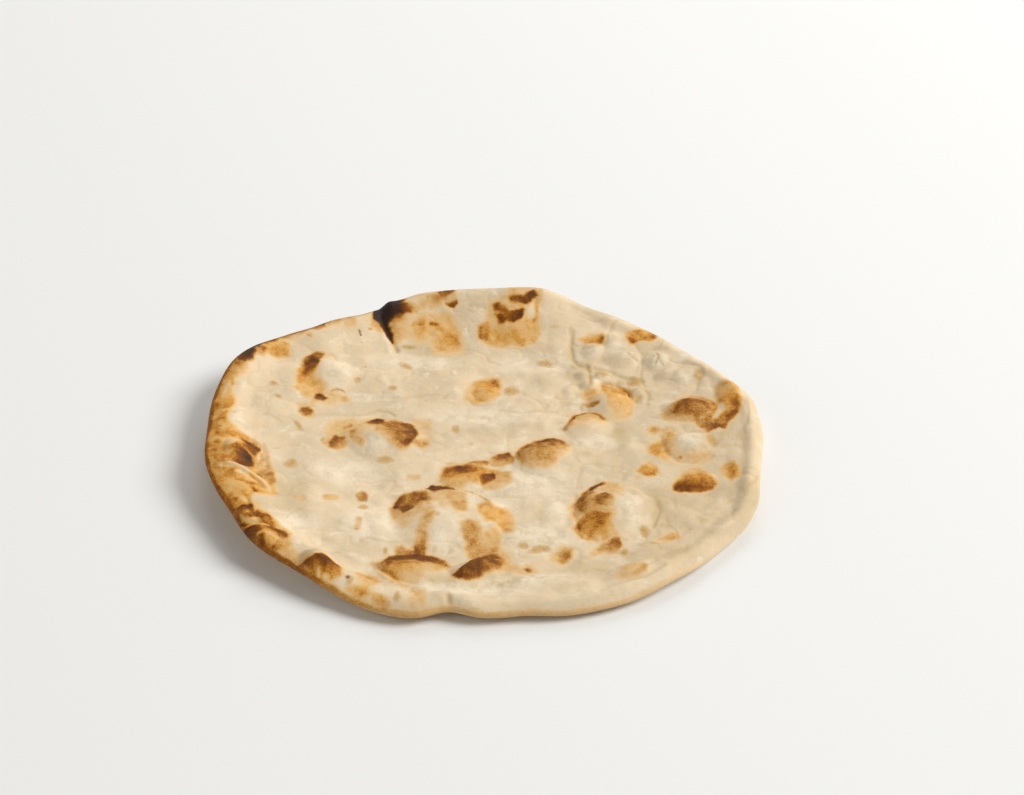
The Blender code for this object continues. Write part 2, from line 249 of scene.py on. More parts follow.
# ---- scorch marks -------------------------------------------------------------------------------
# Tone 0.2 is golden, 0.4 tan, 0.6 brown, 0.8 dark brown and 1 charred.
# Patches: the tone at the dark side and at the pale side, the direction of the dark side in degrees,
# the width over which the patch ends at each of those sides, and the outline.
PATCHES = [
    # fold burn
    (1, 0.94, 150, 1, 3, [(-63, 124), (-60, 129), (-52, 129), (-47, 123), (-48, 118), (-50, 114),
        (-54, 110), (-57, 106), (-60, 108), (-63, 109), (-64, 116)]),
    (0.9, 0.5, 180, 1.5, 3.5, [(-50, 120), (-45, 119), (-40, 117), (-39, 116), (-43, 114), (-50, 113)]),
    (0.8, 0.36, 120, 2, 4.5, [(-55, 113), (-48, 113), (-46, 109), (-49, 106), (-54, 105)]),
    (0.6, 0.3, 90, 2, 4, [(-63, 111), (-59, 109), (-57, 104), (-60, 102), (-64, 104)]),
    (0.42, 0.24, 160, 2, 4, [(-55, 107), (-48, 106), (-46, 101), (-49, 95), (-52, 92), (-54, 98)]),
    (0.34, 0.18, 30, 3, 5, [(-71, 121), (-63, 125), (-63, 112), (-67, 106), (-71, 112)]),
    # fold hump
    (0.26, 0.2, 0, 4, 5, [(-48, 105), (-44, 110), (-36, 112), (-22, 111), (-16, 105), (-14, 97),
        (-13, 89), (-19, 87), (-27, 88), (-30, 94), (-40, 96), (-48, 97)]),
    (0.48, 0.34, -45, 2.5, 4, [(-28, 104), (-20, 103), (-16, 99), (-15, 92), (-18, 89), (-25, 90),
        (-28, 94)]),
    (0.42, 0.3, 0, 2.5, 4, [(-43, 107), (-35, 108), (-34, 102), (-38, 99), (-42, 102)]),
    (0.38, 0.24, 60, 3, 4, [(-38, 125), (-27, 125), (-25, 121), (-30, 117), (-38, 118)]),
    (0.8, 0.6, 90, 1.5, 2, [(-26, 126), (-23, 128), (-22, 132), (-18, 132), (-18, 126), (-20, 124),
        (-25, 123)]),
    (0.36, 0.3, 90, 2, 3, [(-25, 124), (-18, 124), (-17, 120), (-23, 120)]),
    (0.76, 0.6, -60, 1, 1.4, [(-22, 119), (-19, 119), (-16, 120), (-16, 118), (-18, 117), (-21, 118)]),
    # back left edge
    (0.76, 0.56, 120, 1.5, 2.5, [(-128, 82), (-121, 89), (-117, 88), (-117, 81), (-123, 78)]),
    (0.46, 0.34, -40, 2, 3, [(-124, 81), (-111, 80), (-110, 74), (-116, 71), (-124, 73)]),
    (0.74, 0.5, 110, 1.2, 2.5, [(-120, 89), (-112, 94), (-108, 96), (-107, 91), (-111, 85), (-118, 85)]),
    (0.52, 0.34, 120, 1.5, 3, [(-112, 92), (-103, 98), (-101, 92), (-106, 85), (-111, 84)]),
    (0.84, 0.6, 110, 1.2, 2, [(-101, 99), (-96, 103), (-92, 103), (-91, 97), (-95, 94), (-99, 95)]),
    (0.54, 0.34, 90, 1.5, 3, [(-93, 102), (-86, 107), (-82, 107), (-84, 100), (-91, 97)]),
    (0.4, 0.24, 90, 2, 3, [(-82, 106), (-76, 109), (-74, 102), (-79, 100)]),
    # left burn
    (0.97, 0.72, 60, 1.5, 3, [(-137, 74), (-133, 79), (-129, 82), (-126, 81), (-126, 77), (-129, 74),
        (-128, 70), (-130, 67), (-130, 63), (-133, 60), (-136, 62), (-138, 66), (-139, 70)]),
    (0.66, 0.46, 60, 1.5, 3.5, [(-128, 70), (-124, 69), (-123, 74), (-127, 76), (-131, 72)]),
    (0.52, 0.34, 100, 2, 4, [(-139, 60), (-133, 58), (-132, 51), (-135, 48), (-138, 51)]),
    # left rim
    (0.48, 0.38, 180, 2, 3, [(-146, 58), (-141, 57), (-138, 46), (-138, 35), (-136, 27), (-139, 15),
        (-140, 8), (-136, 3), (-130, 0), (-124, -2), (-119, -5), (-116, -10), (-113, -20), (-110, -30),
        (-109, -40), (-112, -50), (-119, -54), (-120, -60), (-117, -66), (-110, -70), (-104, -77),
        (-98, -84), (-97, -92), (-99, -99), (-125, -100), (-150, -60), (-160, 0), (-155, 40)]),
    (0.8, 0.62, 180, 1, 1.6, [(-154, 34), (-148, 40), (-145, 35), (-149, 33)]),
    (0.7, 0.54, 160, 1.2, 2, [(-147, 60), (-143, 59), (-141, 51), (-145, 48)]),
    (0.66, 0.5, 160, 1.5, 2.5, [(-149, 50), (-143, 49), (-139, 41), (-144, 37)]),
    (0.66, 0.46, 180, 1.5, 3.5, [(-152, 30), (-144, 32), (-140, 24), (-143, 17), (-152, 18)]),
    (0.72, 0.5, 180, 1.5, 3, [(-155, 14), (-147, 12), (-144, 2), (-147, -8), (-155, -6)]),
    (0.62, 0.46, 90, 1, 2, [(-142, -2), (-137, -4), (-133, -5), (-136, -7), (-141, -8)]),
    (0.6, 0.44, 180, 1.5, 3, [(-150, -16), (-143, -18), (-141, -30), (-146, -34)]),
    # left rim dome
    (0.76, 0.6, 80, 1, 2, [(-129, -6), (-124, -5), (-120, -8), (-119, -15), (-122, -18), (-125, -15),
        (-127, -18), (-134, -20), (-131, -15), (-127, -11)]),
    (0.82, 0.66, 0, 1, 2, [(-133, -19), (-127, -17), (-123, -20), (-122, -25), (-127, -30), (-131, -27)]),
    (0.62, 0.48, 0, 1.5, 2.5, [(-143, -21), (-135, -23), (-130, -24), (-131, -28), (-136, -30),
        (-142, -26)]),
    (0.64, 0.44, 0, 1, 2, [(-117, -33), (-111, -32), (-108, -36), (-111, -39), (-116, -36)]),
    (0.64, 0.44, 90, 1, 2.5, [(-121, -34), (-117, -33), (-114, -38), (-117, -43), (-121, -39)]),
    (0.6, 0.4, -90, 1, 2.5, [(-133, -37), (-126, -38), (-119, -43), (-120, -46), (-128, -43),
        (-134, -41)]),
    # rim pair
    (0.82, 0.6, 90, 1, 1.8, [(-128, -67), (-123, -64), (-118, -63), (-117, -68), (-121, -71),
        (-125, -70)]),
    (0.8, 0.58, -60, 1, 1.8, [(-124, -74), (-118, -69), (-114, -68), (-114, -73), (-120, -77)]),
    (0.64, 0.44, 120, 1, 2, [(-114, -70), (-109, -70), (-106, -75), (-103, -78), (-104, -81),
        (-110, -76)]),
    # rim corner
    (0.86, 0.7, 180, 1, 2, [(-120, -80), (-114, -78), (-110, -83), (-109, -91), (-112, -93),
        (-117, -87)]),
    (0.74, 0.54, 60, 1, 2.5, [(-115, -77), (-110, -76), (-105, -81), (-101, -82), (-98, -86), (-100, -89),
        (-106, -87), (-110, -83)]),
    (0.56, 0.4, -90, 1.5, 2, [(-110, -88), (-106, -86), (-101, -88), (-97, -91), (-103, -95),
        (-108, -95)]),
    # front left dome
    (0.76, 0.6, 90, 1.2, 2.5, [(-91, -106), (-85, -104), (-79, -103.5), (-71, -106), (-74, -108),
        (-82, -107), (-89, -109)]),
    (0.6, 0.36, 90, 1.5, 4.5, [(-92, -107), (-86, -104), (-78, -104), (-70, -107), (-70, -111),
        (-75, -113), (-78, -118), (-83, -119), (-88, -114)]),
    # front left rim
    (0.46, 0.32, 60, 2.5, 4, [(-60, -109), (-52, -110), (-51, -113), (-55, -118), (-59, -117)]),
    (0.44, 0.32, 0, 2.5, 3, [(-65, -120), (-57, -120), (-56, -124), (-60, -126), (-65, -123)]),
    (0.5, 0.38, 90, 2, 3, [(-53, -124), (-48, -125), (-46, -130), (-50, -132)]),
    (0.38, 0.28, 90, 3, 4, [(-33, -120), (-28, -120), (-28, -130), (-31, -135), (-34, -130)]),
    # crescent
    (0.68, 0.4, 80, 1.2, 3.5, [(-102, 70), (-99, 74), (-95, 77), (-90, 77), (-93, 72), (-95, 66),
        (-96, 58), (-97, 50), (-99, 48), (-102, 50), (-103, 56), (-103, 64)]),
    (0.8, 0.6, 90, 1.5, 3, [(-101, 70), (-97, 73), (-94, 70), (-95, 64), (-98, 58), (-101, 59)]),
    (0.46, 0.3, 170, 2, 5, [(-102, 60), (-96, 60), (-91, 55), (-88, 50), (-91, 44), (-99, 45),
        (-104, 50)]),
    # below crescent
    (0.84, 0.66, 90, 1, 1.6, [(-93, 43), (-92, 46), (-89, 46), (-87, 44), (-89, 42), (-91, 42)]),
    (0.36, 0.26, 90, 2, 5, [(-90, 48), (-83, 47), (-76, 46), (-76, 43), (-82, 40), (-91, 39)]),
    (0.7, 0.5, 60, 1.5, 2.5, [(-99, 33), (-96, 34), (-94, 31), (-95, 28), (-97, 26), (-99, 28)]),
    # arched dome
    (0.8, 0.56, 10, 1.2, 4, [(-50, 26), (-46, 24), (-42, 24), (-39, 22), (-37, 17), (-36, 12), (-37, 7),
        (-39, 3), (-41, 0), (-44, -1), (-46, 3), (-47, 9), (-49, 16)]),
    (0.62, 0.26, 20, 1.5, 6, [(-63, 24), (-55, 25), (-48, 25), (-46, 12), (-46, 0), (-50, 4), (-54, 10),
        (-59, 13), (-62, 18)]),
    (0.8, 0.62, 60, 1, 1.8, [(-64, 24), (-62, 26), (-58, 28), (-55, 27), (-55, 24), (-58, 22),
        (-62, 23)]),
    (0.28, 0.2, 90, 3, 5, [(-81, 25), (-74, 27), (-64, 26), (-61, 20), (-65, 12), (-66, 5), (-70, 6),
        (-72, 12), (-77, 14), (-82, 11), (-85, 14), (-84, 20)]),
    (0.7, 0.5, 150, 1.5, 3.5, [(-82, 9), (-80, 11), (-76, 10), (-75, 6), (-76, 2), (-79, 0), (-82, 1),
        (-83, 5)]),
    (0.48, 0.36, 100, 2, 3, [(-72, 16), (-69, 16), (-68, 9), (-65, 5), (-66, 3), (-70, 8)]),
    (0.26, 0.18, 90, 3, 5, [(-38, 27), (-32, 26), (-29, 20), (-29, 12), (-34, 11), (-37, 18)]),
    (0.46, 0.34, -60, 2, 3.5, [(-37, 4), (-35, 9), (-31, 9), (-30, 5), (-33, 2)]),
    # back centre
    (0.54, 0.36, 50, 2.5, 5, [(-9, 46), (-8, 53), (-4, 60), (2, 64), (8, 64), (9, 58), (6, 51), (1, 46),
        (-5, 44)]),
    # fold patch
    (0.32, 0.24, 0, 1.2, 2, [(2, 120), (10, 121), (14, 123), (14, 130), (15, 134), (27, 134), (32, 129),
        (32, 121), (30, 115), (30, 107), (31, 100), (28, 95), (22, 93), (10, 93), (0, 95), (-3, 99),
        (-3, 105), (2, 109)]),
    (0.4, 0.3, -90, 3, 4, [(0, 104), (10, 105), (24, 103), (23, 94), (10, 94), (0, 97)]),
    (0.84, 0.7, -40, 1.2, 2, [(5, 117), (8, 118), (11, 115), (13, 112), (16, 112), (22, 112), (20, 108),
        (16, 106), (13, 107), (12, 110), (9, 113), (6, 114)]),
    (0.8, 0.68, 0, 1.2, 1.8, [(6, 111), (9, 111), (12, 108), (11, 106), (9, 106), (7, 109)]),
    (0.84, 0.66, 0, 1.2, 2, [(14, 121), (17, 121), (22, 120), (25, 122), (28, 124), (29, 121), (26, 119),
        (24, 116), (21, 117), (15, 118)]),
    (0.52, 0.4, 180, 1.5, 3, [(-3, 105), (2, 106), (4, 101), (2, 96), (-3, 98)]),
    (0.5, 0.36, -60, 1.5, 3, [(15, 102), (18, 101), (22, 96), (22, 93), (18, 94), (16, 98)]),
    # back right
    (0.54, 0.34, -60, 1.5, 3, [(56, 98), (60, 101), (66, 101), (67, 97), (66, 92), (64, 91), (60, 94)]),
    (0.5, 0.4, 0, 1.5, 2.5, [(82, 101), (86, 102), (92, 104), (98, 108), (100, 100), (96, 95), (92, 93),
        (87, 93), (84, 90), (82, 94)]),
    (0.7, 0.54, -120, 1.5, 2.5, [(82, 96), (86, 96), (86, 92), (84, 91)]),
    (0.66, 0.5, -60, 1.5, 2.5, [(91, 99), (96, 100), (97, 96), (93, 93), (90, 94)]),
    # double arch
    (0.44, 0.26, 55, 1, 5, [(65, 59), (69, 60), (74, 57), (79, 52), (82, 46), (82, 38), (80, 30),
        (74, 28), (71, 36), (69, 46), (66, 53)]),
    (0.54, 0.34, 40, 1, 2.5, [(66, 59), (70, 59), (76, 55), (80, 49), (79, 45), (75, 50), (70, 55)]),
    (0.38, 0.24, 90, 2, 4, [(56, 53), (61, 53), (63, 46), (57, 44)]),
    # pink arch
    (0.36, 0.16, 105, 1.5, 6, [(46, 23), (50, 30), (56, 33), (62, 31), (67, 26), (64, 20), (57, 18),
        (50, 19)]),
    # right arch
    (0.54, 0.4, -30, 1.2, 2.5, [(99, 27), (101, 30), (105, 34), (108, 37), (109, 41), (113, 42),
        (117, 41), (121, 39), (125, 36), (127, 31), (127, 26), (124, 21), (128, 20), (131, 15), (131, 11),
        (128, 13), (124, 12), (122, 9), (120, 13), (117, 17), (115, 20), (112, 21), (108, 22), (103, 24),
        (99, 25)]),
    (0.74, 0.6, 100, 2, 5, [(103, 28), (106, 33), (110, 37), (117, 38), (122, 34), (123, 26), (119, 22),
        (112, 24), (106, 26)]),
    (0.6, 0.46, -80, 1.5, 3, [(117, 20), (123, 23), (130, 18), (129, 13), (123, 12), (119, 15)]),
    (0.56, 0.4, -80, 1.5, 3, [(128, 46), (129, 38), (130, 33), (132, 31), (132, 26), (129, 22), (130, 12),
        (133, 16), (137, 22), (139, 28), (140, 34), (139, 40), (139, 45), (134, 48), (130, 47)]),
    (0.68, 0.54, 0, 1.5, 3, [(131, 36), (135, 38), (139, 35), (138, 28), (137, 22), (134, 19), (133, 25),
        (134, 31)]),
    # pale dome border
    (0.44, 0.3, 180, 2, 4.5, [(98, 15), (103, 15), (104, 10), (103, 4), (101, 0), (102, -6), (103, -11),
        (98, -10), (94, -8), (91, -4), (90, 0), (93, 4), (96, 4), (98, 8)]),
    (0.46, 0.34, 90, 2, 3, [(91, 18), (94, 18), (95, 15), (93, 13), (91, 15)]),
    (0.28, 0.2, 90, 3, 4, [(100, -8), (108, -11), (120, -9), (119, -15), (112, -17), (102, -14)]),
    # centre dome
    (0.64, 0.38, 130, 1, 4.5, [(18, -4), (20, 0), (24, 4), (30, 8), (35, 10), (41, 9), (45, 5), (45, 0),
        (43, -5), (40, -9), (36, -14), (32, -17), (26, -16), (21, -14), (18, -9)]),
    (0.6, 0.52, 90, 3, 5.5, [(27, 3), (33, 3), (35, -3), (33, -10), (30, -15), (27, -12), (28, -5)]),
    (0.74, 0.58, 90, 1, 3, [(27, 6), (33, 9), (38, 10), (43, 8), (45, 4), (41, 6), (36, 6), (30, 4)]),
    # middle row
    (0.6, 0.44, 100, 1.5, 4, [(-20, -18), (-15, -14), (-8, -13), (-2, -15), (2, -19), (1, -24), (-4, -28),
        (-9, -28), (-11, -32), (-16, -33), (-20, -30), (-22, -23)]),
    (0.72, 0.56, 110, 2, 4, [(-15, -16), (-5, -15), (-1, -19), (-5, -25), (-13, -25)]),
    (0.62, 0.46, 90, 1.2, 2.5, [(-7, -12), (-2, -10), (4, -11), (2, -14), (-5, -15)]),
    (0.8, 0.62, 60, 1, 2.5, [(-1, -26), (2, -23), (6, -21), (6, -26), (3, -29), (0, -30)]),
    (0.46, 0.34, 90, 2, 4, [(2, -18), (8, -19), (14, -21), (14, -28), (8, -33), (1, -33)]),
    (0.64, 0.46, 60, 1.2, 3, [(5, -10), (8, -6), (13, -4), (16, -8), (15, -12), (10, -14), (6, -13)]),
    # right
    (0.54, 0.38, -90, 1.5, 3, [(83, -20), (86, -16), (89, -14), (92, -16), (92, -21), (91, -24),
        (86, -24)]),
    (0.6, 0.42, -100, 1, 4.5, [(101, -37), (101, -33), (104, -29), (107, -25), (110, -22), (115, -22),
        (118, -26), (121, -31), (122, -35), (118, -38), (114, -40), (109, -39), (105, -40), (102, -39)]),
    (0.72, 0.54, -120, 1.2, 5, [(102, -37), (109, -33), (119, -31), (121, -35), (114, -39.5),
        (105, -39.5)]),
    (0.5, 0.34, 0, 2, 3, [(127, -24), (129, -20), (132, -20), (134, -25), (134, -30), (131, -31),
        (128, -28)]),
    # round bubble
    (0.6, 0.42, 150, 1.2, 3.5, [(51, -42), (54, -37), (58, -40), (60, -46), (60, -52), (58, -57),
        (54, -58), (51, -54), (50, -47)]),
    (0.26, 0.16, 90, 2, 5, [(56, -36), (61, -32), (67, -30), (71, -31), (74, -35), (73, -43), (68, -52),
        (62, -46), (58, -48)]),
    (0.64, 0.44, 130, 1.5, 3, [(60, -45), (65, -43), (68, -47), (68, -53), (64, -54), (60, -51)]),
    (0.56, 0.36, 135, 1.2, 3, [(50, -61), (53, -58), (56, -56), (60, -58), (66, -60), (66, -66),
        (68, -71), (69, -77), (62, -78), (56, -76), (51, -73), (48, -67)]),
    (0.6, 0.44, 150, 1.5, 4, [(52, -60), (58, -58), (62, -62), (60, -68), (54, -69), (50, -65)]),
    (0.4, 0.24, 150, 1.5, 4, [(46, -50), (49, -45), (52, -43), (52, -56), (50, -62), (47, -58)]),
    (0.34, 0.26, 90, 2, 3, [(58, -52), (62, -53), (67, -58), (67, -63), (60, -59)]),
    # great dome
    (0.6, 0.46, 150, 1, 3, [(-46, -51), (-45, -46), (-41, -41), (-36, -38), (-30, -38), (-27, -40),
        (-27, -47), (-30, -50), (-35, -53), (-40, -57), (-42, -54)]),
    (0.82, 0.64, 160, 1, 2.5, [(-46, -51), (-45, -46), (-41, -41), (-39, -42), (-40, -47), (-43, -51)]),
    (0.78, 0.62, -90, 1.5, 2.5, [(-42, -47), (-36, -48), (-36, -52), (-40, -56), (-43, -53)]),
    (0.68, 0.56, 90, 1.5, 3, [(-35, -39), (-29, -39), (-28, -46), (-34, -48)]),
    (0.46, 0.28, 120, 2, 4, [(-47, -52), (-42, -53), (-36, -55), (-34, -59), (-37, -63), (-40, -66),
        (-45, -60)]),
    (0.38, 0.26, 90, 2, 3.5, [(-34, -49), (-28, -48), (-27, -57), (-29, -62), (-32, -58)]),
    # the thin dark arc along the great dome's back edge: partly browning, partly painted shadow
    (0.86, 0.66, 170, 0.9, 1.6, [(-29, -35), (-26, -32), (-21, -33), (-15, -34), (-14, -36), (-20, -36),
        (-25, -37)]),
    (0.52, 0.38, -20, 2, 4, [(-17, -36), (-12, -35), (-10, -40), (-9, -50), (-9, -57), (-13, -57),
        (-16, -52), (-18, -43)]),
    (0.26, 0.18, 90, 3, 5, [(-28, -38), (-17, -36), (-16, -48), (-20, -57), (-27, -55)]),
    (0.46, 0.34, 150, 2, 3.5, [(-2, -52), (3, -49), (6, -53), (11, -52), (14, -58), (15, -64), (15, -70),
        (11, -70), (8, -64), (3, -63), (-1, -58)]),
    (0.58, 0.4, -90, 1.2, 3, [(-30, -62), (-26, -61), (-27, -66), (-29, -71), (-29.5, -84), (-29, -92),
        (-35, -92), (-34, -84), (-33, -77), (-31.5, -70)]),
    (0.5, 0.38, 170, 1.5, 4, [(-11, -68), (-6, -65), (-2, -67), (-1, -74), (1, -79), (2, -85), (2, -92),
        (-4, -94), (-7, -90), (-8, -80), (-10, -74)]),
    (0.48, 0.36, -90, 2, 3, [(1, -79), (3, -73), (7, -71), (9, -76), (8, -83), (9, -92), (0, -92)]),
    (0.38, 0.28, -90, 2, 3, [(9, -84), (12, -84), (13, -92), (13, -99), (9, -98)]),
    # front dome
    (0.5, 0.38, -90, 1.5, 2.5, [(-42, -84), (-40, -83), (-38, -88), (-35, -86), (-31, -92), (-42, -92)]),
    (0.6, 0.3, 110, 1, 4, [(-51, -103), (-49, -97), (-46, -92), (-42, -91), (-36, -90), (-30, -92),
        (-25, -92), (-20, -95), (-16, -101), (-22, -104), (-28, -105), (-32, -112), (-38, -116),
        (-44, -112)]),
    (0.8, 0.56, 105, 0.9, 3, [(-50, -102), (-48, -95), (-42, -91.5), (-34, -90.5), (-29, -92), (-29, -96),
        (-36, -97.5), (-43, -99), (-46, -103)]),
    (0.74, 0.56, 90, 0.9, 2, [(-31, -92), (-25, -92), (-19, -95), (-16, -100), (-23, -97), (-31, -97)]),
    (0.54, 0.38, 0, 1.5, 3, [(-54, -99), (-50, -96), (-47, -97), (-47, -104), (-51, -103)]),
    # front centre dome
    (0.78, 0.56, 150, 1, 2.5, [(-14, -108), (-9, -105), (-6, -102), (-5, -95), (-2, -92), (2, -90),
        (7, -89), (10, -92), (11, -97), (10, -100), (4, -104), (-2, -108), (-6, -110), (-11, -110)]),
    (0.32, 0.22, 180, 2, 4, [(10, -96), (16, -98), (26, -98), (28, -102), (20, -104), (11, -101)]),
    # front right
    (0.66, 0.3, 40, 1.2, 4, [(57, -89), (60, -85), (63, -80), (67, -77), (70, -76), (71, -83), (68, -87),
        (63, -86)]),
    (0.44, 0.3, 0, 2, 3, [(90, -77), (95, -73), (100, -72), (101, -75), (95, -77)]),
    (0.52, 0.24, 20, 1.5, 4, [(68, -107), (72, -102), (78, -100), (83, -101), (81, -106), (75, -109)]),
    (0.54, 0.32, 0, 1.5, 4, [(37, -93), (38, -87), (42, -83), (46, -84), (45, -90), (41, -95)]),
]

# Lines and dots: tone, how far the mark fades out, and points of x, y and half width.
LINES = [
    # the dark line down the fold's left crease: partly scorch, partly painted shade in the crease
    (0.92, 1.5, [(-58, 108, 2), (-55.5, 102, 1.6), (-54, 97, 1.2), (-53, 94, 0.6)]),
    (0.64, 1.4, [(-30, 106.5, 1.2), (-27.5, 106, 1)]),
    (0.5, 1.4, [(-41, 105, 1.1)]),
    (0.48, 1.2, [(-37, 106, 0.9)]),
    (0.46, 2, [(-26, 103, 1.4)]),
    (0.5, 1, [(-33, 123, 1.2)]),
    (0.84, 0.7, [(-71.5, 99, 0.7), (-71.2, 95.5, 0.6)]),
    (0.8, 0.7, [(-70, 90.5, 0.6)]),
    (0.8, 0.7, [(-70, 87, 0.5)]),
    (0.9, 0.7, [(-66.6, 72, 0.6)]),
    (0.62, 0.9, [(-66.5, 102, 0.7), (-65, 102, 0.5)]),
    (0.78, 0.8, [(105.5, -11.5, 0.9)]),
    (0.46, 1.5, [(-103, 93, 1.2)]),
    (0.4, 2, [(-99, 88, 1.2)]),
    (0.52, 1, [(-84, 49, 0.5), (-81, 51, 0.8), (-77, 50.5, 0.4)]),
    (0.38, 2, [(-94, 41, 0.8), (-94, 36, 0.8)]),
    (0.26, 3, [(-100, 36, 1.4), (-95, 27, 2)]),
    (0.24, 2, [(-93, 76, 0.8), (-86, 77, 0.6)]),
    (0.5, 1.6, [(-76, 18, 0.8), (-73, 21, 0.9)]),
    (0.26, 3, [(-84, 4, 1.2), (-83, 12, 1.2)]),
    (0.52, 1, [(-58, 20, 0.4), (-57, 12, 0.5)]),
    (0.52, 1.4, [(17.5, 125, 1)]),
    (0.56, 1.4, [(-1.5, 104, 1)]),
    (0.52, 2, [(0.5, 98.5, 1.6)]),
    # painted shade on the right wall of the raised fold patch
    (0.54, 1, [(29.5, 119, 0.8), (29, 112, 0.9), (27.5, 106, 0.8)]),
    (0.46, 2, [(56, 41, 1.2), (60, 39.5, 1.6), (63, 39.5, 1)]),
    (0.5, 1.6, [(45, 18, 1.2), (47, 24, 1.2)]),
    # the dark arc along the pink arch's back: partly browning, partly painted shadow
    (0.72, 1.2, [(47, 25, 0.6), (50, 30, 0.7), (54, 32.6, 0.7), (58, 32.6, 0.8), (62, 31, 0.7),
        (66, 27.5, 0.3)]),
    # the dark arc along the round bubble's back: partly browning, partly painted shadow
    (0.84, 1.2, [(64, -30, 0.5), (60, -32, 1.2), (57, -35, 1.3)]),
    (0.66, 1.2, [(57, -35, 1.1), (53, -39, 0.9), (52, -46, 0.9)]),
    (0.68, 1.2, [(50, -66, 0.9)]),
    (0.48, 1.6, [(-5, -37.5, 0.6), (-1, -40, 1), (1, -44, 0.9), (3, -48, 0.7)]),
    (0.4, 1.4, [(-13, -34.5, 0.5), (-6, -36.5, 0.4)]),
    (0.62, 1, [(-49, -105, 0.6), (-44, -108, 0.7), (-41, -112, 0.4)]),
    (0.6, 1.5, [(24, -101, 1.3)]),
    (0.62, 1.2, [(-106, -93, 1)]),
    (0.3, 3, [(-97, -98, 1.6)]),
    (0.66, 1.2, [(-120, -46, 0.6), (-117, -51, 1)]),
    (0.48, 2, [(-118, -7, 0.8), (-116, -16, 1.2), (-114, -21, 0.9)]),
    (0.64, 1, [(-127, -58, 1)]),
    (0.56, 1.8, [(-141, -11, 1.4)]),
    (0.48, 1.8, [(-59, -123, 1.1)]),
    (0.66, 1.2, [(-65.5, -113.5, 0.9)]),
    (0.32, 2.5, [(-81, -44, 1.8), (-77, -44, 1.8)]),
    (0.52, 2.5, [(-63, -41, 2.2), (-62.5, -44, 2)]),
    (0.34, 2.5, [(-62, -52, 1.4)]),
    (0.34, 2, [(-63, -64, 1.2), (-64, -71, 1.2)]),
    (0.3, 2.5, [(-39, -24, 1.4), (-35, -24, 1.2)]),
    (0.22, 2.5, [(-95, -48, 1.8)]),
    (0.34, 2.5, [(-108, -45, 0.8), (-110, -49, 0.8)]),
]

# Pale gaps in the marks: x, y, half length, half width, turn in degrees.
GAPS = [
    # the narrow gaps at (-119, -13) and (-125, -35) on the left rim are painted highlight along its folds
    (25, 112, 4.2, 6, -20), (-132, -11, 7, 6, 20), (-80.5, -111.5, 1.2, 3.5, 0), (-127, 65, 1.4, 2, 0),
    (128, 26, 1.6, 6, -30), (-119, -13, 1.2, 9, -4), (-125, -35, 5, 2.4, 20), (-76, -113, 2, 2.4, 0),
    (-116, -74, 4, 1.6, 20), (-140, 41, 1.6, 5, 10),
]
GAP_DEPTH = 0.75       # share by which a gap lowers the tone

# Pale lines of painted highlight where the dough folds: share by which each lowers the tone, half width,
# and its points.
PALE_LINES = [
    (0.7, 1.2, [(-137, -31), (-129, -31), (-121, -34), (-115, -38), (-111, -45)]),
    (0.7, 1, [(-118, -1), (-116.5, -10), (-115, -20)]),
    (0.75, 1.1, [(-129, -75), (-122, -73), (-115, -75), (-108, -79)]),
    (0.6, 1, [(-112, -86), (-107, -85), (-101, -88)]),
    (0.6, 1.2, [(-143, 42), (-141, 36), (-142, 30)]),
    (0.6, 1.2, [(-150, 16), (-144, 15), (-138, 18)]),
    (0.5, 1, [(-131, -50), (-126, -55), (-122, -60)]),
]

# Small olive spots: x, y, half length, half width, turn in degrees.
OLIVE_SPOTS = [
    (-63, -42, 2.6, 5, 0), (-79, -44, 4, 2.4, 0), (32, -84, 5, 3.4, 0), (66, 68, 5, 3.4, -20),
    (-44, 91.5, 5, 2.2, 5), (-28, 89, 2, 2.4, 0), (-44, 75, 5.6, 3.2, -40), (-116, 50, 3, 1.8, 20),
    (-113, 40, 3, 2, -30), (-50.5, 55, 3.2, 2.8, 0), (-71, 60, 2.4, 1.8, 0), (35.5, 78.5, 6, 4.6, 0),
    (15, 54, 5, 5.6, 0), (120, 57, 3, 4.6, 0), (85, 43, 4, 4.4, 0), (123, 2, 3.4, 8, 10),
    (-102, -17, 4, 4.8, 0), (-52.5, -9, 6, 2.8, 0), (-65, -114.5, 2.2, 3.6, -20),
    (21, -81, 2.6, 3.6, 0), (28, -86, 4.4, 3.8, 0), (84, -70, 2.8, 5.6, 0), (88, -81, 3.4, 2, 0),
    (72.5, -88, 2.4, 4, 0), (118, -12, 3.2, 5, 0), (-16, -13, 4.2, 2, 0), (-95, -48, 3, 2.4, 0),
    (-24, -61.5, 2.8, 2.8, 0), (-48, -88, 2, 4.4, 0), (-100, 16, 6, 1.7, -55), (85, 58.5, 6, 5, 0),
    (-40.5, -125, 2, 4.8, 0), (-86, 5, 2.4, 4, 0), (92.5, 16, 3.4, 3.4, 0), (-15, 18, 2.4, 4.6, 0),
]

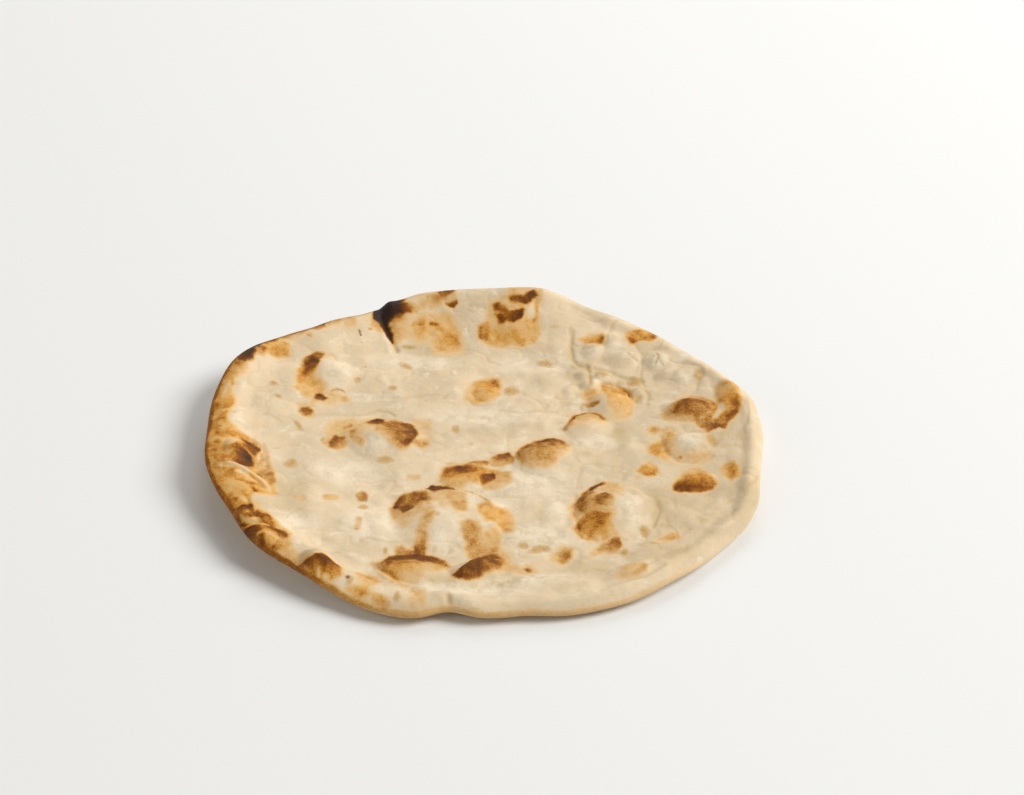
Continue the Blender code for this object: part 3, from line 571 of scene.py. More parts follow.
# Spots and patches of painted shade, greyer than the dough, in the same terms.
SHADED_SPOTS = [
    (-30, 90.5, 4, 2, 0), (-111, 52, 2, 1.4, 0), (-24, -86, 2, 4.4, 0), (-15.5, -86, 1.8, 4.6, 0),
    (-12, -55, 2, 4, 0), (-52, 32.5, 4.6, 1.9, -25), (-22, 48, 4, 1.6, 30), (0.5, 116, 2, 4.4, 0),
    (-6.5, 117, 3.4, 2, 0), (-7.5, 5, 2, 3.4, 0), (-31, 28, 4, 1.8, -20), (47, 71, 1.8, 2, 0),
    (72, 66, 3.6, 2.4, -30), (-111, -4, 3.4, 1.4, 20), (54, 50, 2, 6, 0), (76, 60, 4.4, 2.4, -20),
    (89, 83, 2.4, 1.6, 0), (82, 82, 1.8, 1.4, 0), (99, 66, 5, 1.4, -15), (84, 62, 3.4, 2, 0),
    (91, -50, 2.6, 6, 10), (79, -43, 2.6, 5, 0), (96, -64, 2.6, 6, 0), (-54, -79, 6, 1.6, 0),
    (-61, -81, 2.2, 2.4, 0), (104, -90, 6, 2.4, 45), (56, -4, 4, 4, 0), (74, 17, 5, 5, 0),
    (10, -112, 4, 2.6, 0), (-38, -116, 4, 2, 0), (-24, -111.5, 3, 1.6, 0), (71, -77.5, 4.4, 1.8, 0),
    (113, -64, 3, 6, 30), (128, -50, 4, 2, 40), (40, 104, 4, 1.4, 10),
]

# Soft olive-grey shading between the swellings: strength, half width and the line it follows.
SHADED_BANDS = [
    (0.7, 1.5, [(50, 105), (49, 95), (49, 85), (51, 77)]),
    (0.75, 2.4, [(51, 75), (55, 75.5), (58, 74)]),
    (0.9, 1.8, [(58, 76), (58.5, 70), (59, 64), (59, 57)]),
    (0.45, 1.6, [(48, 70), (50, 64), (53, 58)]),
    (0.45, 3, [(72, 71), (75, 66), (78, 61), (84, 59)]),
    (0.5, 2, [(88, 72), (87, 64), (87, 56), (90, 50), (92, 43)]),
    (0.45, 2, [(81, 47), (81, 42), (82, 36)]),
    (0.85, 0.7, [(97, 78), (98, 73), (99.5, 68)]),
    (0.4, 2.2, [(52, 56), (51, 48), (45, 42)]),
    (0.55, 1.5, [(86, -38), (89, -45), (91, -52), (89, -60)]),
    (0.35, 3.5, [(92, -40), (94, -46), (92, -54)]),
    (0.35, 2, [(73, -59), (74, -64), (72, -67)]),
    (0.4, 1.4, [(97, -4), (100, -12), (106, -17), (114, -18)]),
    (0.4, 1.6, [(116, -12), (118, -6), (122, -2)]),
    (0.35, 1.6, [(129, -5), (134, -4), (138, -8)]),
    (0.45, 1, [(144, 22), (142, 12), (140, 2)]),
    (0.45, 1, [(145, 34), (145, 26), (143, 18)]),
    (0.55, 0.8, [(138, -41), (142, -37), (145, -31)]),
    (0.3, 3, [(56, 2), (60, -6), (62, -12)]),
    (0.3, 3, [(72, 26), (75, 18), (74, 8)]),
    (0.3, 2.5, [(66, 34), (70, 28)]),
    (0.35, 1, [(-72, 30.5), (-65, 32), (-59, 36)]),
    (0.6, 1, [(-55, 35), (-52, 33), (-49, 31)]),
    (0.4, 1, [(-57, 88), (-56, 84)]),
]

# Places whose marks are golden rather than tan: x, y, half length, half width, turn in degrees.
GOLDEN_PLACES = [
    (-30, 102, 26, 20, 0), (14, 104, 22, 24, 0), (-140, 10, 18, 60, 0), (-118, -60, 22, 56, 30),
    (62, 96, 9, 9, 0), (90, 98, 14, 12, 0), (134, 32, 12, 22, 0), (60, -64, 13, 14, 0),
    (-98, 56, 10, 18, 0), (-80, -110, 14, 10, 0), (8, -60, 12, 14, 0), (132, -26, 7, 9, 0),
    (88, -20, 7, 8, 0), (-118, 78, 12, 8, 30), (-40, -106, 12, 8, 0), (110, -32, 13, 10, 0),
    (96, 0, 10, 16, 0), (-58, -122, 16, 8, -20), (0, 54, 12, 14, 0), (72, 44, 14, 18, 0),
    (-78, -44, 8, 5, 0), (-8, -22, 18, 12, 0),
]

# Duller, greyer dough, partly its own colour and partly painted shade: x, y, half length, half width,
# turn in degrees.
DULL_AND_SHADED_PATCHES = [
    (0, -112, 60, 9, 0), (-100, -50, 16, 26, 0), (140, -30, 8, 40, 0), (112, -50, 34, 40, -20),
    (122, 10, 22, 50, 0), (96, -86, 26, 16, 30), (84, 46, 9, 7, 0), (60, 70, 4, 9, 0),
    (92, -44, 9, 12, 0), (46, -100, 24, 10, 0), (70, 12, 12, 22, 0), (-26, 90, 22, 8, 0),
]

# Floury patches: x, y, half length, half width, turn in degrees.
FLOUR_PATCHES = [
    (-21, -57, 4, 12, 10), (-17, -86, 6, 6, 0), (52, 47, 5, 6, 0), (90, 76, 8, 5, 0), (98, 72, 6, 8, 0),
    (64, 62, 4, 4, 0), (76, 88, 9, 5, 0), (112, 56, 6, 6, 0), (-5, -48, 9, 8, 0), (-15, -72, 7, 12, 0),
    (-21, -78, 7, 14, 0), (-57, 2, 13, 7, 0), (-82, 62, 9, 12, 0), (-20, -47, 5, 3, 0),
    (76, -56, 9, 15, 0), (110, 2, 9, 10, 0), (-40, 78, 30, 8, 0), (0, 30, 34, 12, 0),
    (24, -110, 34, 8, 5), (60, 86, 9, 6, 0), (-96, -70, 16, 12, 0), (10, -50, 10, 12, 0),
    (62, 6, 14, 8, 0), (27, 112, 2.6, 5, 0), (-55, 92, 2, 10, 16), (26, 78, 26, 10, 0),
    (-70, 46, 28, 4, 4), (20, -28, 34, 20, 0), (-72, -20, 26, 14, 0), (-6, -118, 40, 7, 0),
    (-50, -66, 10, 18, 0), (30, -74, 24, 12, 0), (-60, -66, 14, 20, 0), (40, -50, 7, 20, 0),
    (-44, -108, 8, 1.6, -35), (-46, 98, 2.2, 9, 0), (112, 74, 5, 4, -30),
]

# Golden band along the rim: its width and strength, by angle.
GOLD_WIDTH = [
    (0, 2.5), (60, 3), (100, 4), (120, 5), (140, 7), (160, 9), (180, 10), (200, 12), (220, 12), (232, 9),
    (245, 6), (262, 4), (290, 3), (330, 2.5),
]
GOLD_STRENGTH = [
    (0, 0.04), (40, 0.04), (60, 0.08), (100, 0.22), (120, 0.44), (140, 0.66), (152, 0.86), (170, 1.0),
    (200, 1.0), (214, 0.95), (226, 0.72), (240, 0.50), (256, 0.38), (275, 0.34), (300, 0.28), (320, 0.18),
    (340, 0.06),
]
GOLD_TONE = 0.40       # tone of the golden band
GOLD_WIDTH_WAVES = (11.0, 0.35)      # wavelength and share of the unevenness of its width
GOLD_PATCHINESS = 0.86               # what its patchy strength is waved about
GOLD_PATCH_WAVES = [(9.0, 0.34), (4.0, 0.26)]   # wavelength and amount of those waves
GOLD_PATCH_LIMIT = 1.3
GOLD_FADE = (0.5, 1.2)               # where it starts to fade and where it ends, in its widths
GOLD_COVER = 2.5                     # how soon its cover is full
OUTER_GOLD = (6.0, 0.16)             # width and tone of the browning beside the outline

# Thin dark line where the rim turns under: its width by angle, and its tone.
EDGE_WIDTH = [
    (0, 2), (100, 2.5), (116, 5.0), (150, 5.0), (170, 4.5), (210, 4.0), (235, 3.0), (260, 2.2), (340, 2),
]
EDGE_TONE = 0.66
EDGE_WAVES = (5.0, 0.4)      # wavelength and share of the unevenness of its width
EDGE_FADE = 0.4              # where it starts to fade, in its widths
EDGE_GAIN = 1.5              # how soon its tone and its cover are full

LINE_EDGE = 0.9        # how far inside its half width a line starts to end
PATCH_GROWTH = 0.6     # how far outside its outline the middle of a patch's edge lies
PATCH_SOFTNESS = 1.5   # how many times softer than stated the patches end
PATCH_EDGE = (-0.65, 0.55)   # where a patch's edge starts and ends about its outline, in its widths
PATCH_FILL = 1.5       # how much sooner its cover is full at its pale side
UNEVEN_TONE = [(8.0, 0.22), (3.2, 0.16), (1.7, 0.12)]   # wavelength and amount of the marks' unevenness
HALO = (0.12, 5.0)     # tone and reach of the warm tinge round the patches
WARP = [(9.0, 0.8), (3.6, 0.45), (1.8, 0.25)]   # wavelength and reach of the raggedness of the marks
SPOT_WARP = (5.0, 1.2)       # and of the soft spots
SHADE_WARP = (6.0, 1.2)      # and of the shaded bands
SPOT_POWER = 0.8             # softness of spots and gaps: more is softer
OLIVE_POWER = 0.9
SHADED_POWER = 1.4
SHADED_SHARE = 0.6           # strength of the spots of painted shade
WRINKLE_SHADE = (0.28, 0.16)        # painted shade in the wrinkles, and how much the pillowy back right adds
CREASE_SHADE = (0.8, 0.25, 0.6)     # painted shade in a crease for its depth, and the least and the most of it
SCORCH_SEED = 31

UNDER_SPOTS = 80       # scorched spots of the underside
UNDER_SPOT_REACH = 138
UNDER_SPOT_RADIUS = (2.5, 11.0)
UNDER_SPOT_NARROWING = (0.5, 1.0)
UNDER_SPOT_POWER = 0.7
UNDER_TONES = (0.35, 0.85)
UNDER_WARP = [(12.0, 3.0, 3), (4.0, 1.2, 4)]   # wavelength, reach and seed step of their raggedness
UNDER_GROUND = (0.16, 24.0, 0.10)   # tone between the spots, and the wavelength and amount of its waves
UNDER_EDGE = (9.0, 0.44)            # width and tone of the browning at its edge
UNDER_FLOUR = (0.5, 22.0)           # its flour, and the wavelength of the flour's waves
UNDER_COVER = 3                     # how soon the underside's cover is full
UNDER_SEED = 5
UNDER_FADE = 7.0       # distance from the outline over which the underside's browning sets in

# ---- mesh fineness ------------------------------------------------------------------------------
TOP_RINGS = 156        # rings of triangles on the upper face
UNDER_RINGS = 78       # and on the underside, which meets every second point of the outline
EDGE_CROWDING = 0.06   # how closely the rings crowd to the outline: less is closer
FAN_SIDES = 6          # sides of the fan that each face is cut from
FAN_SECTOR = 60.0      # degrees that each side of the fan spans
FAN_CORNER = 30.0      # angle of the fan's first corner
WELD = 0.01            # distance within which points of the two faces are one


# ---- shape --------------------------------------------------------------------------------------
def step(value, start, end):
    """Rises smoothly from 0 at start to 1 at end."""
    share = np.clip((value - start) / (end - start), 0.0, 1.0)
    return share * share * (3 - 2 * share)


def around(table, angle):
    """Reads a closed, smooth curve through (angle, value) pairs at angles in degrees."""
    places = np.array([pair[0] for pair in table], float)
    values = np.array([pair[1] for pair in table], float)
    places = np.concatenate((places[-2:] - 360, places, places[:2] + 360))
    values = np.concatenate((values[-2:], values, values[:2]))
    slopes = np.gradient(values, places)
    angle = np.asarray(angle) % 360
    left = np.clip(np.searchsorted(places, angle, side="right") - 1, 0, len(places) - 2)
    span = places[left + 1] - places[left]
    share = (angle - places[left]) / span
    rise = share * share * (3 - 2 * share)
    return (
        (1 - rise) * values[left]
        + rise * values[left + 1]
        + share * (1 - share) ** 2 * span * slopes[left]
        - share**2 * (1 - share) * span * slopes[left + 1]
    )


def rounding(distance, width):
    """A quarter-round section, 0 at the outline and 1 from the given distance inwards."""
    share = np.clip(distance / width, 0.0, 1.0)
    return np.sqrt(1 - (1 - share) ** 2)


def dome(x, y, shape, power, shift=CREST_SHIFT):
    """A raised patch with its crest behind its centre, 0 to 1."""
    centre_x, centre_y, length, width, turn = shape[:5]
    cosine = math.cos(math.radians(turn))
    sine = math.sin(math.radians(turn))
    along = ((x - centre_x) * cosine + (y - centre_y) * sine) / length
    across = ((y - centre_y) * cosine - (x - centre_x) * sine) / width
    across = across - shift * np.clip(1 - across**2, 0.0, 1.0)
    return np.clip(1 - along**2 - across**2, 0.0, 1.0) ** power


def fold(x, y):
    """The bent-up back edge, 0 to 1."""
    along = x - FOLD_LEAN * (FOLD_BACK - y)
    left = (step(along, *FOLD_LEFT_STEEP) + step(along, *FOLD_LEFT_GENTLE)) / 2
    return left * (1 - step(x, *FOLD_RIGHT)) * step(y, FOLD_FRONT, FOLD_BACK)


def rim_height(angle):
    """The height of the underside at the outline, with its small waves."""
    height = around(RIM_LIFT, angle)
    for count, amount, start in RIM_WAVES:
        height = height + amount * np.sin(np.radians(count * (angle - start)))
    return height


def underside_height(x, y, share, angle):
    """The height of the dished underside, without its rounded edge."""
    outside = np.clip((share - REST_SHARE) / (1 - REST_SHARE), 0.0, 1.0)
    return rim_height(angle) * outside**DISH_POWER + FOLD_HEIGHT * fold(x, y)


def upper_thickness(x, y, distance, angle):
    """The thickness of the bread, with the rim's roll, the swellings and the blisters."""
    width = around(ROLL_WIDTH, angle)
    roll = np.sin(math.pi * np.clip(distance / width, 0.0, 1.0)) ** 2
    thickness = BODY + around(ROLL_HEIGHT, angle) * roll
    for shape in SWELLINGS.values():
        thickness = thickness + shape[-1] * dome(x, y, shape, SWELLING_POWER)
    raised = np.zeros_like(thickness)
    for shape in BLISTERS.values():
        raised = np.maximum(raised, shape[-1] * dome(x, y, shape, BLISTER_POWER))
    return thickness + raised


def waviness(x, y, size, seed):
    """Smooth random unevenness of the given wavelength, -1 to 1."""
    lattice = np.random.default_rng(seed).uniform(-1, 1, (LATTICE, LATTICE))
    u, v = x / size + LATTICE_START[0], y / size + LATTICE_START[1]
    column, row = np.floor(u).astype(int), np.floor(v).astype(int)
    u, v = u - column, v - row
    u, v = u * u * (3 - 2 * u), v * v * (3 - 2 * v)
    column, row = column % LATTICE, row % LATTICE
    next_column, next_row = (column + 1) % LATTICE, (row + 1) % LATTICE
    near = lattice[row, column] * (1 - u) + lattice[row, next_column] * u
    far = lattice[next_row, column] * (1 - u) + lattice[next_row, next_column] * u
    return near * (1 - v) + far * v


def line_reach(x, y, line):
    """Distance from each point to a line of (x, y, half width) points, its half width there, and how
    much the point lies in front of it, -1 to 1."""
    best = np.full_like(x, np.inf)
    width = np.zeros_like(x)
    facing = np.zeros_like(x)
    ends = line[1:] if len(line) > 1 else line
    for (x0, y0, w0), (x1, y1, w1) in zip(line, ends):
        run_x, run_y = x1 - x0, y1 - y0
        along = ((x - x0) * run_x + (y - y0) * run_y) / max(run_x**2 + run_y**2, TINY)
        along = np.clip(along, 0.0, 1.0)
        off_x, off_y = x - x0 - along * run_x, y - y0 - along * run_y
        away = np.hypot(off_x, off_y)
        half = w0 + along * (w1 - w0)
        nearer = away - half < best - width
        best = np.where(nearer, away, best)
        width = np.where(nearer, half, width)
        facing = np.where(nearer, -off_y / (away + TINY), facing)
    return best, width, facing


def groove(x, y, half, points):
    """How deep each point lies in a groove along a line, 0 to 1."""
    away, _, _ = line_reach(x, y, [(px, py, 0.0) for px, py in points])
    return np.exp(-((away / half) ** 2))


def ledge(x, y, half, points):
    """A sharp rise on the front side of a line that eases off towards the front, 0 to 1."""
    away, _, facing = line_reach(x, y, [(px, py, 0.0) for px, py in points])
    behind, before = (np.exp(-((away / (share * half)) ** 2)) for share in LEDGE_WIDTHS)
    return np.where(facing > 0, before, behind)


def scattered(random, reach):
    """A random place on the round of the bread, within the given distance of its middle."""
    away = reach * math.sqrt(random.uniform())
    turn = random.uniform(0, 2 * math.pi)
    return away * math.cos(turn), away * math.sin(turn) * DEPTH_SHARE


def small_bubbles(x, y):
    """Many small bubbles all over, and more in the pillowy back right."""
    random = np.random.default_rng(RELIEF_SEED)
    height = np.zeros_like(x)
    for number in range(SMALL_BUBBLES + PILLOW_BUBBLES):
        if number < SMALL_BUBBLES:
            centre = scattered(random, SMALL_BUBBLE_REACH)
        else:
            centre = random.normal(PILLOW_CENTRE, PILLOW_SPREAD)
        radius = random.uniform(*SMALL_BUBBLE_RADIUS)
        width = radius * random.uniform(*SMALL_BUBBLE_NARROWING)
        shape = (*centre, radius, width, random.uniform(-SMALL_BUBBLE_TURN, SMALL_BUBBLE_TURN))
        lift = SMALL_BUBBLE_HEIGHT * radius * random.uniform(*SMALL_BUBBLE_FULLNESS)
        height = np.maximum(height, lift * dome(x, y, shape, SMALL_BUBBLE_POWER))
    return height


def wrinkles(x, y):
    """Short thin wrinkles of the drying skin, 0 to 1 at the bottom of each."""
    (size_x, amount_x), (size_y, amount_y) = WRINKLE_WARP
    x = x + amount_x * waviness(x, y, size_x, WRINKLE_SEED)
    y = y + amount_y * waviness(x, y, size_y, WRINKLE_SEED + 1)
    total = np.zeros_like(x)
    for number, (size, half, share) in enumerate(WRINKLES):
        line = waviness(x, y * WRINKLE_FLATNESS, size, WRINKLE_SEED + 2 + number)
        place = waviness(x, y, size * WRINKLE_SPREAD, WRINKLE_SEED + 12 + number)
        deep = (1 - step(np.abs(line), 0.0, half)) * step(place, share, share + WRINKLE_FADE)
        total = np.maximum(total, deep)
    return total


def pillow(x, y):
    """The pillowy back right, where the wrinkles are deepest, 0 to 1."""
    (middle_x, middle_y), (reach_x, reach_y) = PILLOW_CENTRE, PILLOW_REACH
    return np.exp(-(((x - middle_x) / reach_x) ** 2) - ((y - middle_y) / reach_y) ** 2)


def fine_relief(x, y, distance):
    """Creases, ridges, pillows, small bubbles, wrinkles and unevenness, which die out at the outline."""
    height = small_bubbles(x, y) - WRINKLE_DEPTH * wrinkles(x, y) * (1 + pillow(x, y))
    for number, (size, amount) in enumerate(UNEVENNESS):
        height = height + amount * waviness(x, y, size, RELIEF_SEED + 1 + number)
    for shape in PILLOWS:
        height = height + shape[-1] * dome(x, y, shape, PILLOW_POWER)
    for depth, half, points in CREASES.values():
        height = height - CREASE_DEPTH * depth * groove(x, y, CREASE_WIDTH * half, points)
    for lift, half, points in RIDGES.values():
        height = height + lift * ledge(x, y, half, points)
    return height * step(distance, 0.0, RELIEF_FADE)


def face_points(flat, upper):
    """Moves points of a unit disc, given as share of the radius and angle, onto one face of the bread."""
    share, angle = flat
    radius = around(OUTLINE, angle)
    distance = (1 - share) * radius
    x = share * radius * np.cos(np.radians(angle))
    y = share * radius * np.sin(np.radians(angle))
    floor = underside_height(x, y, share, angle)
    if upper:
        top = upper_thickness(x, y, distance, angle)
        z = floor + EDGE_LINE + (top - EDGE_LINE) * rounding(distance, TOP_ROUND)
        z = z + fine_relief(x, y, distance)
    else:
        z = floor + EDGE_LINE * (1 - rounding(distance, UNDER_ROUND))
        for number, (size, amount) in enumerate(UNDER_UNEVENNESS):
            dent = 0.5 + 0.5 * waviness(x, y, size, UNDER_SEED + 1 + number)
            z = z + amount * dent**2 * step(distance, 0.0, UNDER_RELIEF_FADE)
    return np.stack((x, y, z), axis=-1)


def disc(rings):
    """An even disc of triangles: a fan whose sides are each cut into the given number of parts."""
    mesh = bmesh.new()
    bmesh.ops.create_circle(mesh, cap_ends=True, cap_tris=True, segments=FAN_SIDES, radius=1.0)
    bmesh.ops.subdivide_edges(mesh, edges=mesh.edges[:], cuts=rings - 1, use_grid_fill=True)
    return mesh


def disc_polar(points):
    """Reads points of the fan as share of the radius and angle, with the rings crowded to the outline."""
    angle = np.degrees(np.arctan2(points[:, 1], points[:, 0])) % 360
    from_side = np.radians((angle - FAN_CORNER) % FAN_SECTOR - FAN_SECTOR / 2)
    side_distance = math.cos(math.radians(FAN_SECTOR / 2))
    share = np.hypot(points[:, 0], points[:, 1]) * np.cos(from_side) / side_distance
    inwards = np.clip(1 - share, 0.0, 1.0)
    inwards = inwards**2 / (inwards + EDGE_CROWDING) * (1 + EDGE_CROWDING)
    return 1 - inwards, angle


# ---- scorch and flour on the surface ------------------------------------------------------------
def outline_reach(x, y, outline):
    """How far inside a closed outline each point lies, less than 0 outside."""
    away = np.full_like(x, np.inf)
    inside = np.zeros(x.shape, bool)
    for (x0, y0), (x1, y1) in zip(outline, outline[1:] + outline[:1]):
        run_x, run_y = x1 - x0, y1 - y0
        along = np.clip(((x - x0) * run_x + (y - y0) * run_y) / (run_x**2 + run_y**2), 0.0, 1.0)
        away = np.minimum(away, np.hypot(x - x0 - along * run_x, y - y0 - along * run_y))
        if y0 != y1:
            crossing = ((y0 > y) != (y1 > y)) & (x < x0 + (y - y0) * run_x / run_y)
            inside ^= crossing
    return np.where(inside, away, -away)


def patch_scorch(x, y, patch):
    """The tone and the cover of one patch. It is darker towards its dark side, where its cover ends
    sharply, and it fades through paler tones at its pale side."""
    dark, pale, turn, sharp, soft, outline = patch
    cosine, sine = math.cos(math.radians(turn)), math.sin(math.radians(turn))
    ends = [px * cosine + py * sine for px, py in outline]
    toward = step(x * cosine + y * sine, min(ends), max(ends))
    width = PATCH_SOFTNESS * (soft + (sharp - soft) * toward)
    full = step((outline_reach(x, y, outline) + PATCH_GROWTH) / width, *PATCH_EDGE)
    tone = (pale + (dark - pale) * toward) * (toward + (1 - toward) * np.sqrt(full))
    return tone, np.clip(full * (1 + PATCH_FILL * (1 - toward)), 0.0, 1.0)


def lay_over(under, over):
    """Lays one scorch of (tone, cover) over another. The darker tone wins where both cover."""
    tone, cover = under
    new_tone, new_cover = over
    kept = cover * (1 - new_cover)
    joined = kept + new_cover
    tone = (tone * kept + np.maximum(new_tone, tone * cover) * new_cover) / np.maximum(joined, TINY)
    return tone, joined


def domes(x, y, shapes, power):
    """The strength of a set of round spots, 0 to 1."""
    total = np.zeros_like(x)
    for shape in shapes:
        total = np.maximum(total, dome(x, y, shape, power, 0.0))
    return total


def scorch_marks(x, y):
    """The tone of the scorch marks of the upper face and how much they cover the dough, 0 to 1."""
    for number, (size, amount) in enumerate(WARP):
        moved_x = x + amount * waviness(x, y, size, SCORCH_SEED + number)
        y = y + amount * waviness(x, y, size, SCORCH_SEED + 10 + number)
        x = moved_x
    halo_tone, halo_reach = HALO
    halo = np.zeros_like(x)
    for patch in PATCHES:
        halo = np.maximum(halo, step(outline_reach(x, y, patch[-1]) / halo_reach, -1.0, 0.0))
    scorch = (np.full_like(x, halo_tone), halo)
    for patch in PATCHES:
        scorch = lay_over(scorch, patch_scorch(x, y, patch))
    for tone, fade, line in LINES:
        away, width, _ = line_reach(x, y, line)
        scorch = lay_over(scorch, (tone, 1 - step(away - width, -LINE_EDGE, fade)))
    tone, cover = scorch
    tone = tone * (1 - GAP_DEPTH * domes(x, y, GAPS, SPOT_POWER))
    # painted highlight along the lips of the folds
    for share, half, points in PALE_LINES:
        tone = tone * (1 - share * groove(x, y, half, points))
    middling = 2 * tone * np.clip(1 - tone, 0.0, 1.0)
    for number, (size, amount) in enumerate(UNEVEN_TONE):
        tone = tone + amount * middling * waviness(x, y, size, SCORCH_SEED + 40 + number)
    return tone, cover


def rim_scorch(x, y, distance, angle):
    """The golden band along the rim and the dark line where the rim turns under, as tone and cover."""
    size, amount = GOLD_WIDTH_WAVES
    width = around(GOLD_WIDTH, angle) * (1 + amount * waviness(x, y, size, SCORCH_SEED + 20))
    strength = np.clip(around(GOLD_STRENGTH, angle), 0.0, 1.0)
    patchy = GOLD_PATCHINESS
    for number, (size, amount) in enumerate(GOLD_PATCH_WAVES):
        patchy = patchy + amount * waviness(x, y, size, SCORCH_SEED + 21 + number)
    start, end = GOLD_FADE
    band = (1 - step(distance, width * start, width * end)) * strength
    band = band * np.clip(patchy, 0.0, GOLD_PATCH_LIMIT)
    outer_width, outer_tone = OUTER_GOLD
    outer = (1 - step(distance, 0.0, outer_width)) * strength
    band_scorch = (GOLD_TONE * band + outer_tone * outer, np.clip(GOLD_COVER * band, 0.0, 1.0))
    size, amount = EDGE_WAVES
    width = around(EDGE_WIDTH, angle) * (1 + amount * waviness(x, y, size, SCORCH_SEED + 23))
    edge = (1 - step(distance, EDGE_FADE * width, width)) * np.clip(EDGE_GAIN * strength, 0.0, 1.0)
    return lay_over(band_scorch, (EDGE_TONE * edge, np.clip(EDGE_GAIN * edge, 0.0, 1.0)))


def spots(x, y, shapes, power=SPOT_POWER):
    """The strength of a set of soft ragged spots, 0 to 1."""
    size, amount = SPOT_WARP
    x = x + amount * waviness(x, y, size, SCORCH_SEED + 30)
    y = y + amount * waviness(x, y, size, SCORCH_SEED + 31)
    return domes(x, y, shapes, power)


def shaded_lines(x, y):
    """Painted shade, an olive tint, in creases, wrinkles and the bands between swellings, 0 to 1."""
    tint, pillow_tint = WRINKLE_SHADE
    total = wrinkles(x, y) * (tint + pillow_tint * pillow(x, y))
    share, least, most = CREASE_SHADE
    for depth, half, points in CREASES.values():
        total = np.maximum(total, np.clip(share * depth, least, most) * groove(x, y, half, points))
    size, amount = SHADE_WARP
    moved_x = x + amount * waviness(x, y, size, SCORCH_SEED + 32)
    moved_y = y + amount * waviness(x, y, size, SCORCH_SEED + 33)
    for strength, half, points in SHADED_BANDS:
        total = np.maximum(total, strength * groove(moved_x, moved_y, half, points))
    return total


def under_scorch(x, y, distance):
    """The tone of the scorched spots of the underside, 0 to 1."""
    random = np.random.default_rng(UNDER_SEED)
    moved_x, moved_y = x, y
    for size, amount, seed in UNDER_WARP:
        moved_x = moved_x + amount * waviness(x, y, size, UNDER_SEED + seed)
        moved_y = moved_y + amount * waviness(x, y, size, UNDER_SEED + seed + 2)
    ground, size, amount = UNDER_GROUND
    total = ground + amount * waviness(x, y, size, UNDER_SEED + 7)
    for _ in range(UNDER_SPOTS):
        centre = scattered(random, UNDER_SPOT_REACH)
        radius = random.uniform(*UNDER_SPOT_RADIUS)
        width = radius * random.uniform(*UNDER_SPOT_NARROWING)
        shape = (*centre, radius, width, random.uniform(-90, 90))
        tone = random.uniform(*UNDER_TONES)
        total = np.maximum(total, tone * dome(moved_x, moved_y, shape, UNDER_SPOT_POWER, 0.0))
    edge_width, edge_tone = UNDER_EDGE
    return np.maximum(total, edge_tone * (1 - step(distance, 0.0, edge_width)))


# ---- the bread ----------------------------------------------------------------------------------
def surface_values(x, y, distance, angle, upper):
    """What the material reads at each point of a face: its marks, spots, shading and flour."""
    rim = rim_scorch(x, y, distance, angle)
    if upper:
        tone, cover = lay_over(rim, scorch_marks(x, y))
        shade = np.maximum(shaded_lines(x, y), SHADED_SHARE * spots(x, y, SHADED_SPOTS, SHADED_POWER))
        return {
            "scorch": tone, "cover": cover, "golden": spots(x, y, GOLDEN_PLACES),
            "olive": spots(x, y, OLIVE_SPOTS, OLIVE_POWER), "shade": shade,
            "flour": spots(x, y, FLOUR_PATCHES), "dull_and_shade": spots(x, y, DULL_AND_SHADED_PATCHES),
        }
    tone = under_scorch(x, y, distance)
    under = (tone, np.clip(UNDER_COVER * tone, 0.0, 1.0) * step(distance, 0.0, UNDER_FADE))
    tone, cover = lay_over(under, rim)
    middle, size = UNDER_FLOUR
    flour = np.clip(middle + waviness(x, y, size, UNDER_SEED + 8), 0.0, 1.0)
    none = np.zeros_like(x)
    return {
        "scorch": tone, "cover": cover, "golden": none, "olive": none, "shade": none, "flour": flour,
        "dull_and_shade": none,
    }


def bread_mesh():
    """Both faces joined along the outline and centred on their box, with what the material reads."""
    faces = {}
    for upper, rings in ((True, TOP_RINGS), (False, UNDER_RINGS)):
        mesh = disc(rings)
        if not upper:
            outline = [edge for edge in mesh.edges if edge.is_boundary]
            bmesh.ops.subdivide_edges(mesh, edges=outline, cuts=TOP_RINGS // UNDER_RINGS - 1)
            bmesh.ops.triangulate(mesh, faces=mesh.faces[:])
            bmesh.ops.reverse_faces(mesh, faces=mesh.faces[:])
        flat = disc_polar(np.array([vertex.co[:] for vertex in mesh.verts]))
        places = face_points(flat, upper)
        share, angle = flat
        distance = (1 - share) * around(OUTLINE, angle)
        x, y = places[:, 0], places[:, 1]
        data = bpy.data.meshes.new("bread_face")
        for vertex, place in zip(mesh.verts, places):
            vertex.co = place
        mesh.to_mesh(data)
        mesh.free()
        for name, values in surface_values(x, y, distance, angle, upper).items():
            layer = data.attributes.new(name, "FLOAT", "POINT")
            layer.data.foreach_set("value", np.asarray(values, np.float32))
        faces[upper] = data

    joined = bmesh.new()
    joined.from_mesh(faces[True])
    joined.from_mesh(faces[False])
    bmesh.ops.remove_doubles(joined, verts=joined.verts[:], dist=WELD)
    points = np.array([vertex.co[:] for vertex in joined.verts])
    middle = (points.min(axis=0) + points.max(axis=0)) / 2
    bmesh.ops.translate(joined, verts=joined.verts[:], vec=(-middle[0], -middle[1], 0.0))
    bmesh.ops.scale(joined, verts=joined.verts[:], vec=(MM, MM, MM))
    data = bpy.data.meshes.new("bread")
    joined.to_mesh(data)
    joined.free()
    data.shade_smooth()
    return data


# ---- materials ----------------------------------------------------------------------------------
def linear(red, green, blue):
    """A colour given as it is seen, 0 to 255, as Blender's linear values."""
    def channel(value):
        value = value / 255
        return value / 12.92 if value <= 0.04045 else ((value + 0.055) / 1.055) ** 2.4
    return (channel(red), channel(green), channel(blue), 1.0)


CREAM = linear(232, 209, 174)
BEIGE = linear(216, 195, 161)
PALE = linear(242, 226, 198)
WARM = linear(232, 200, 156)
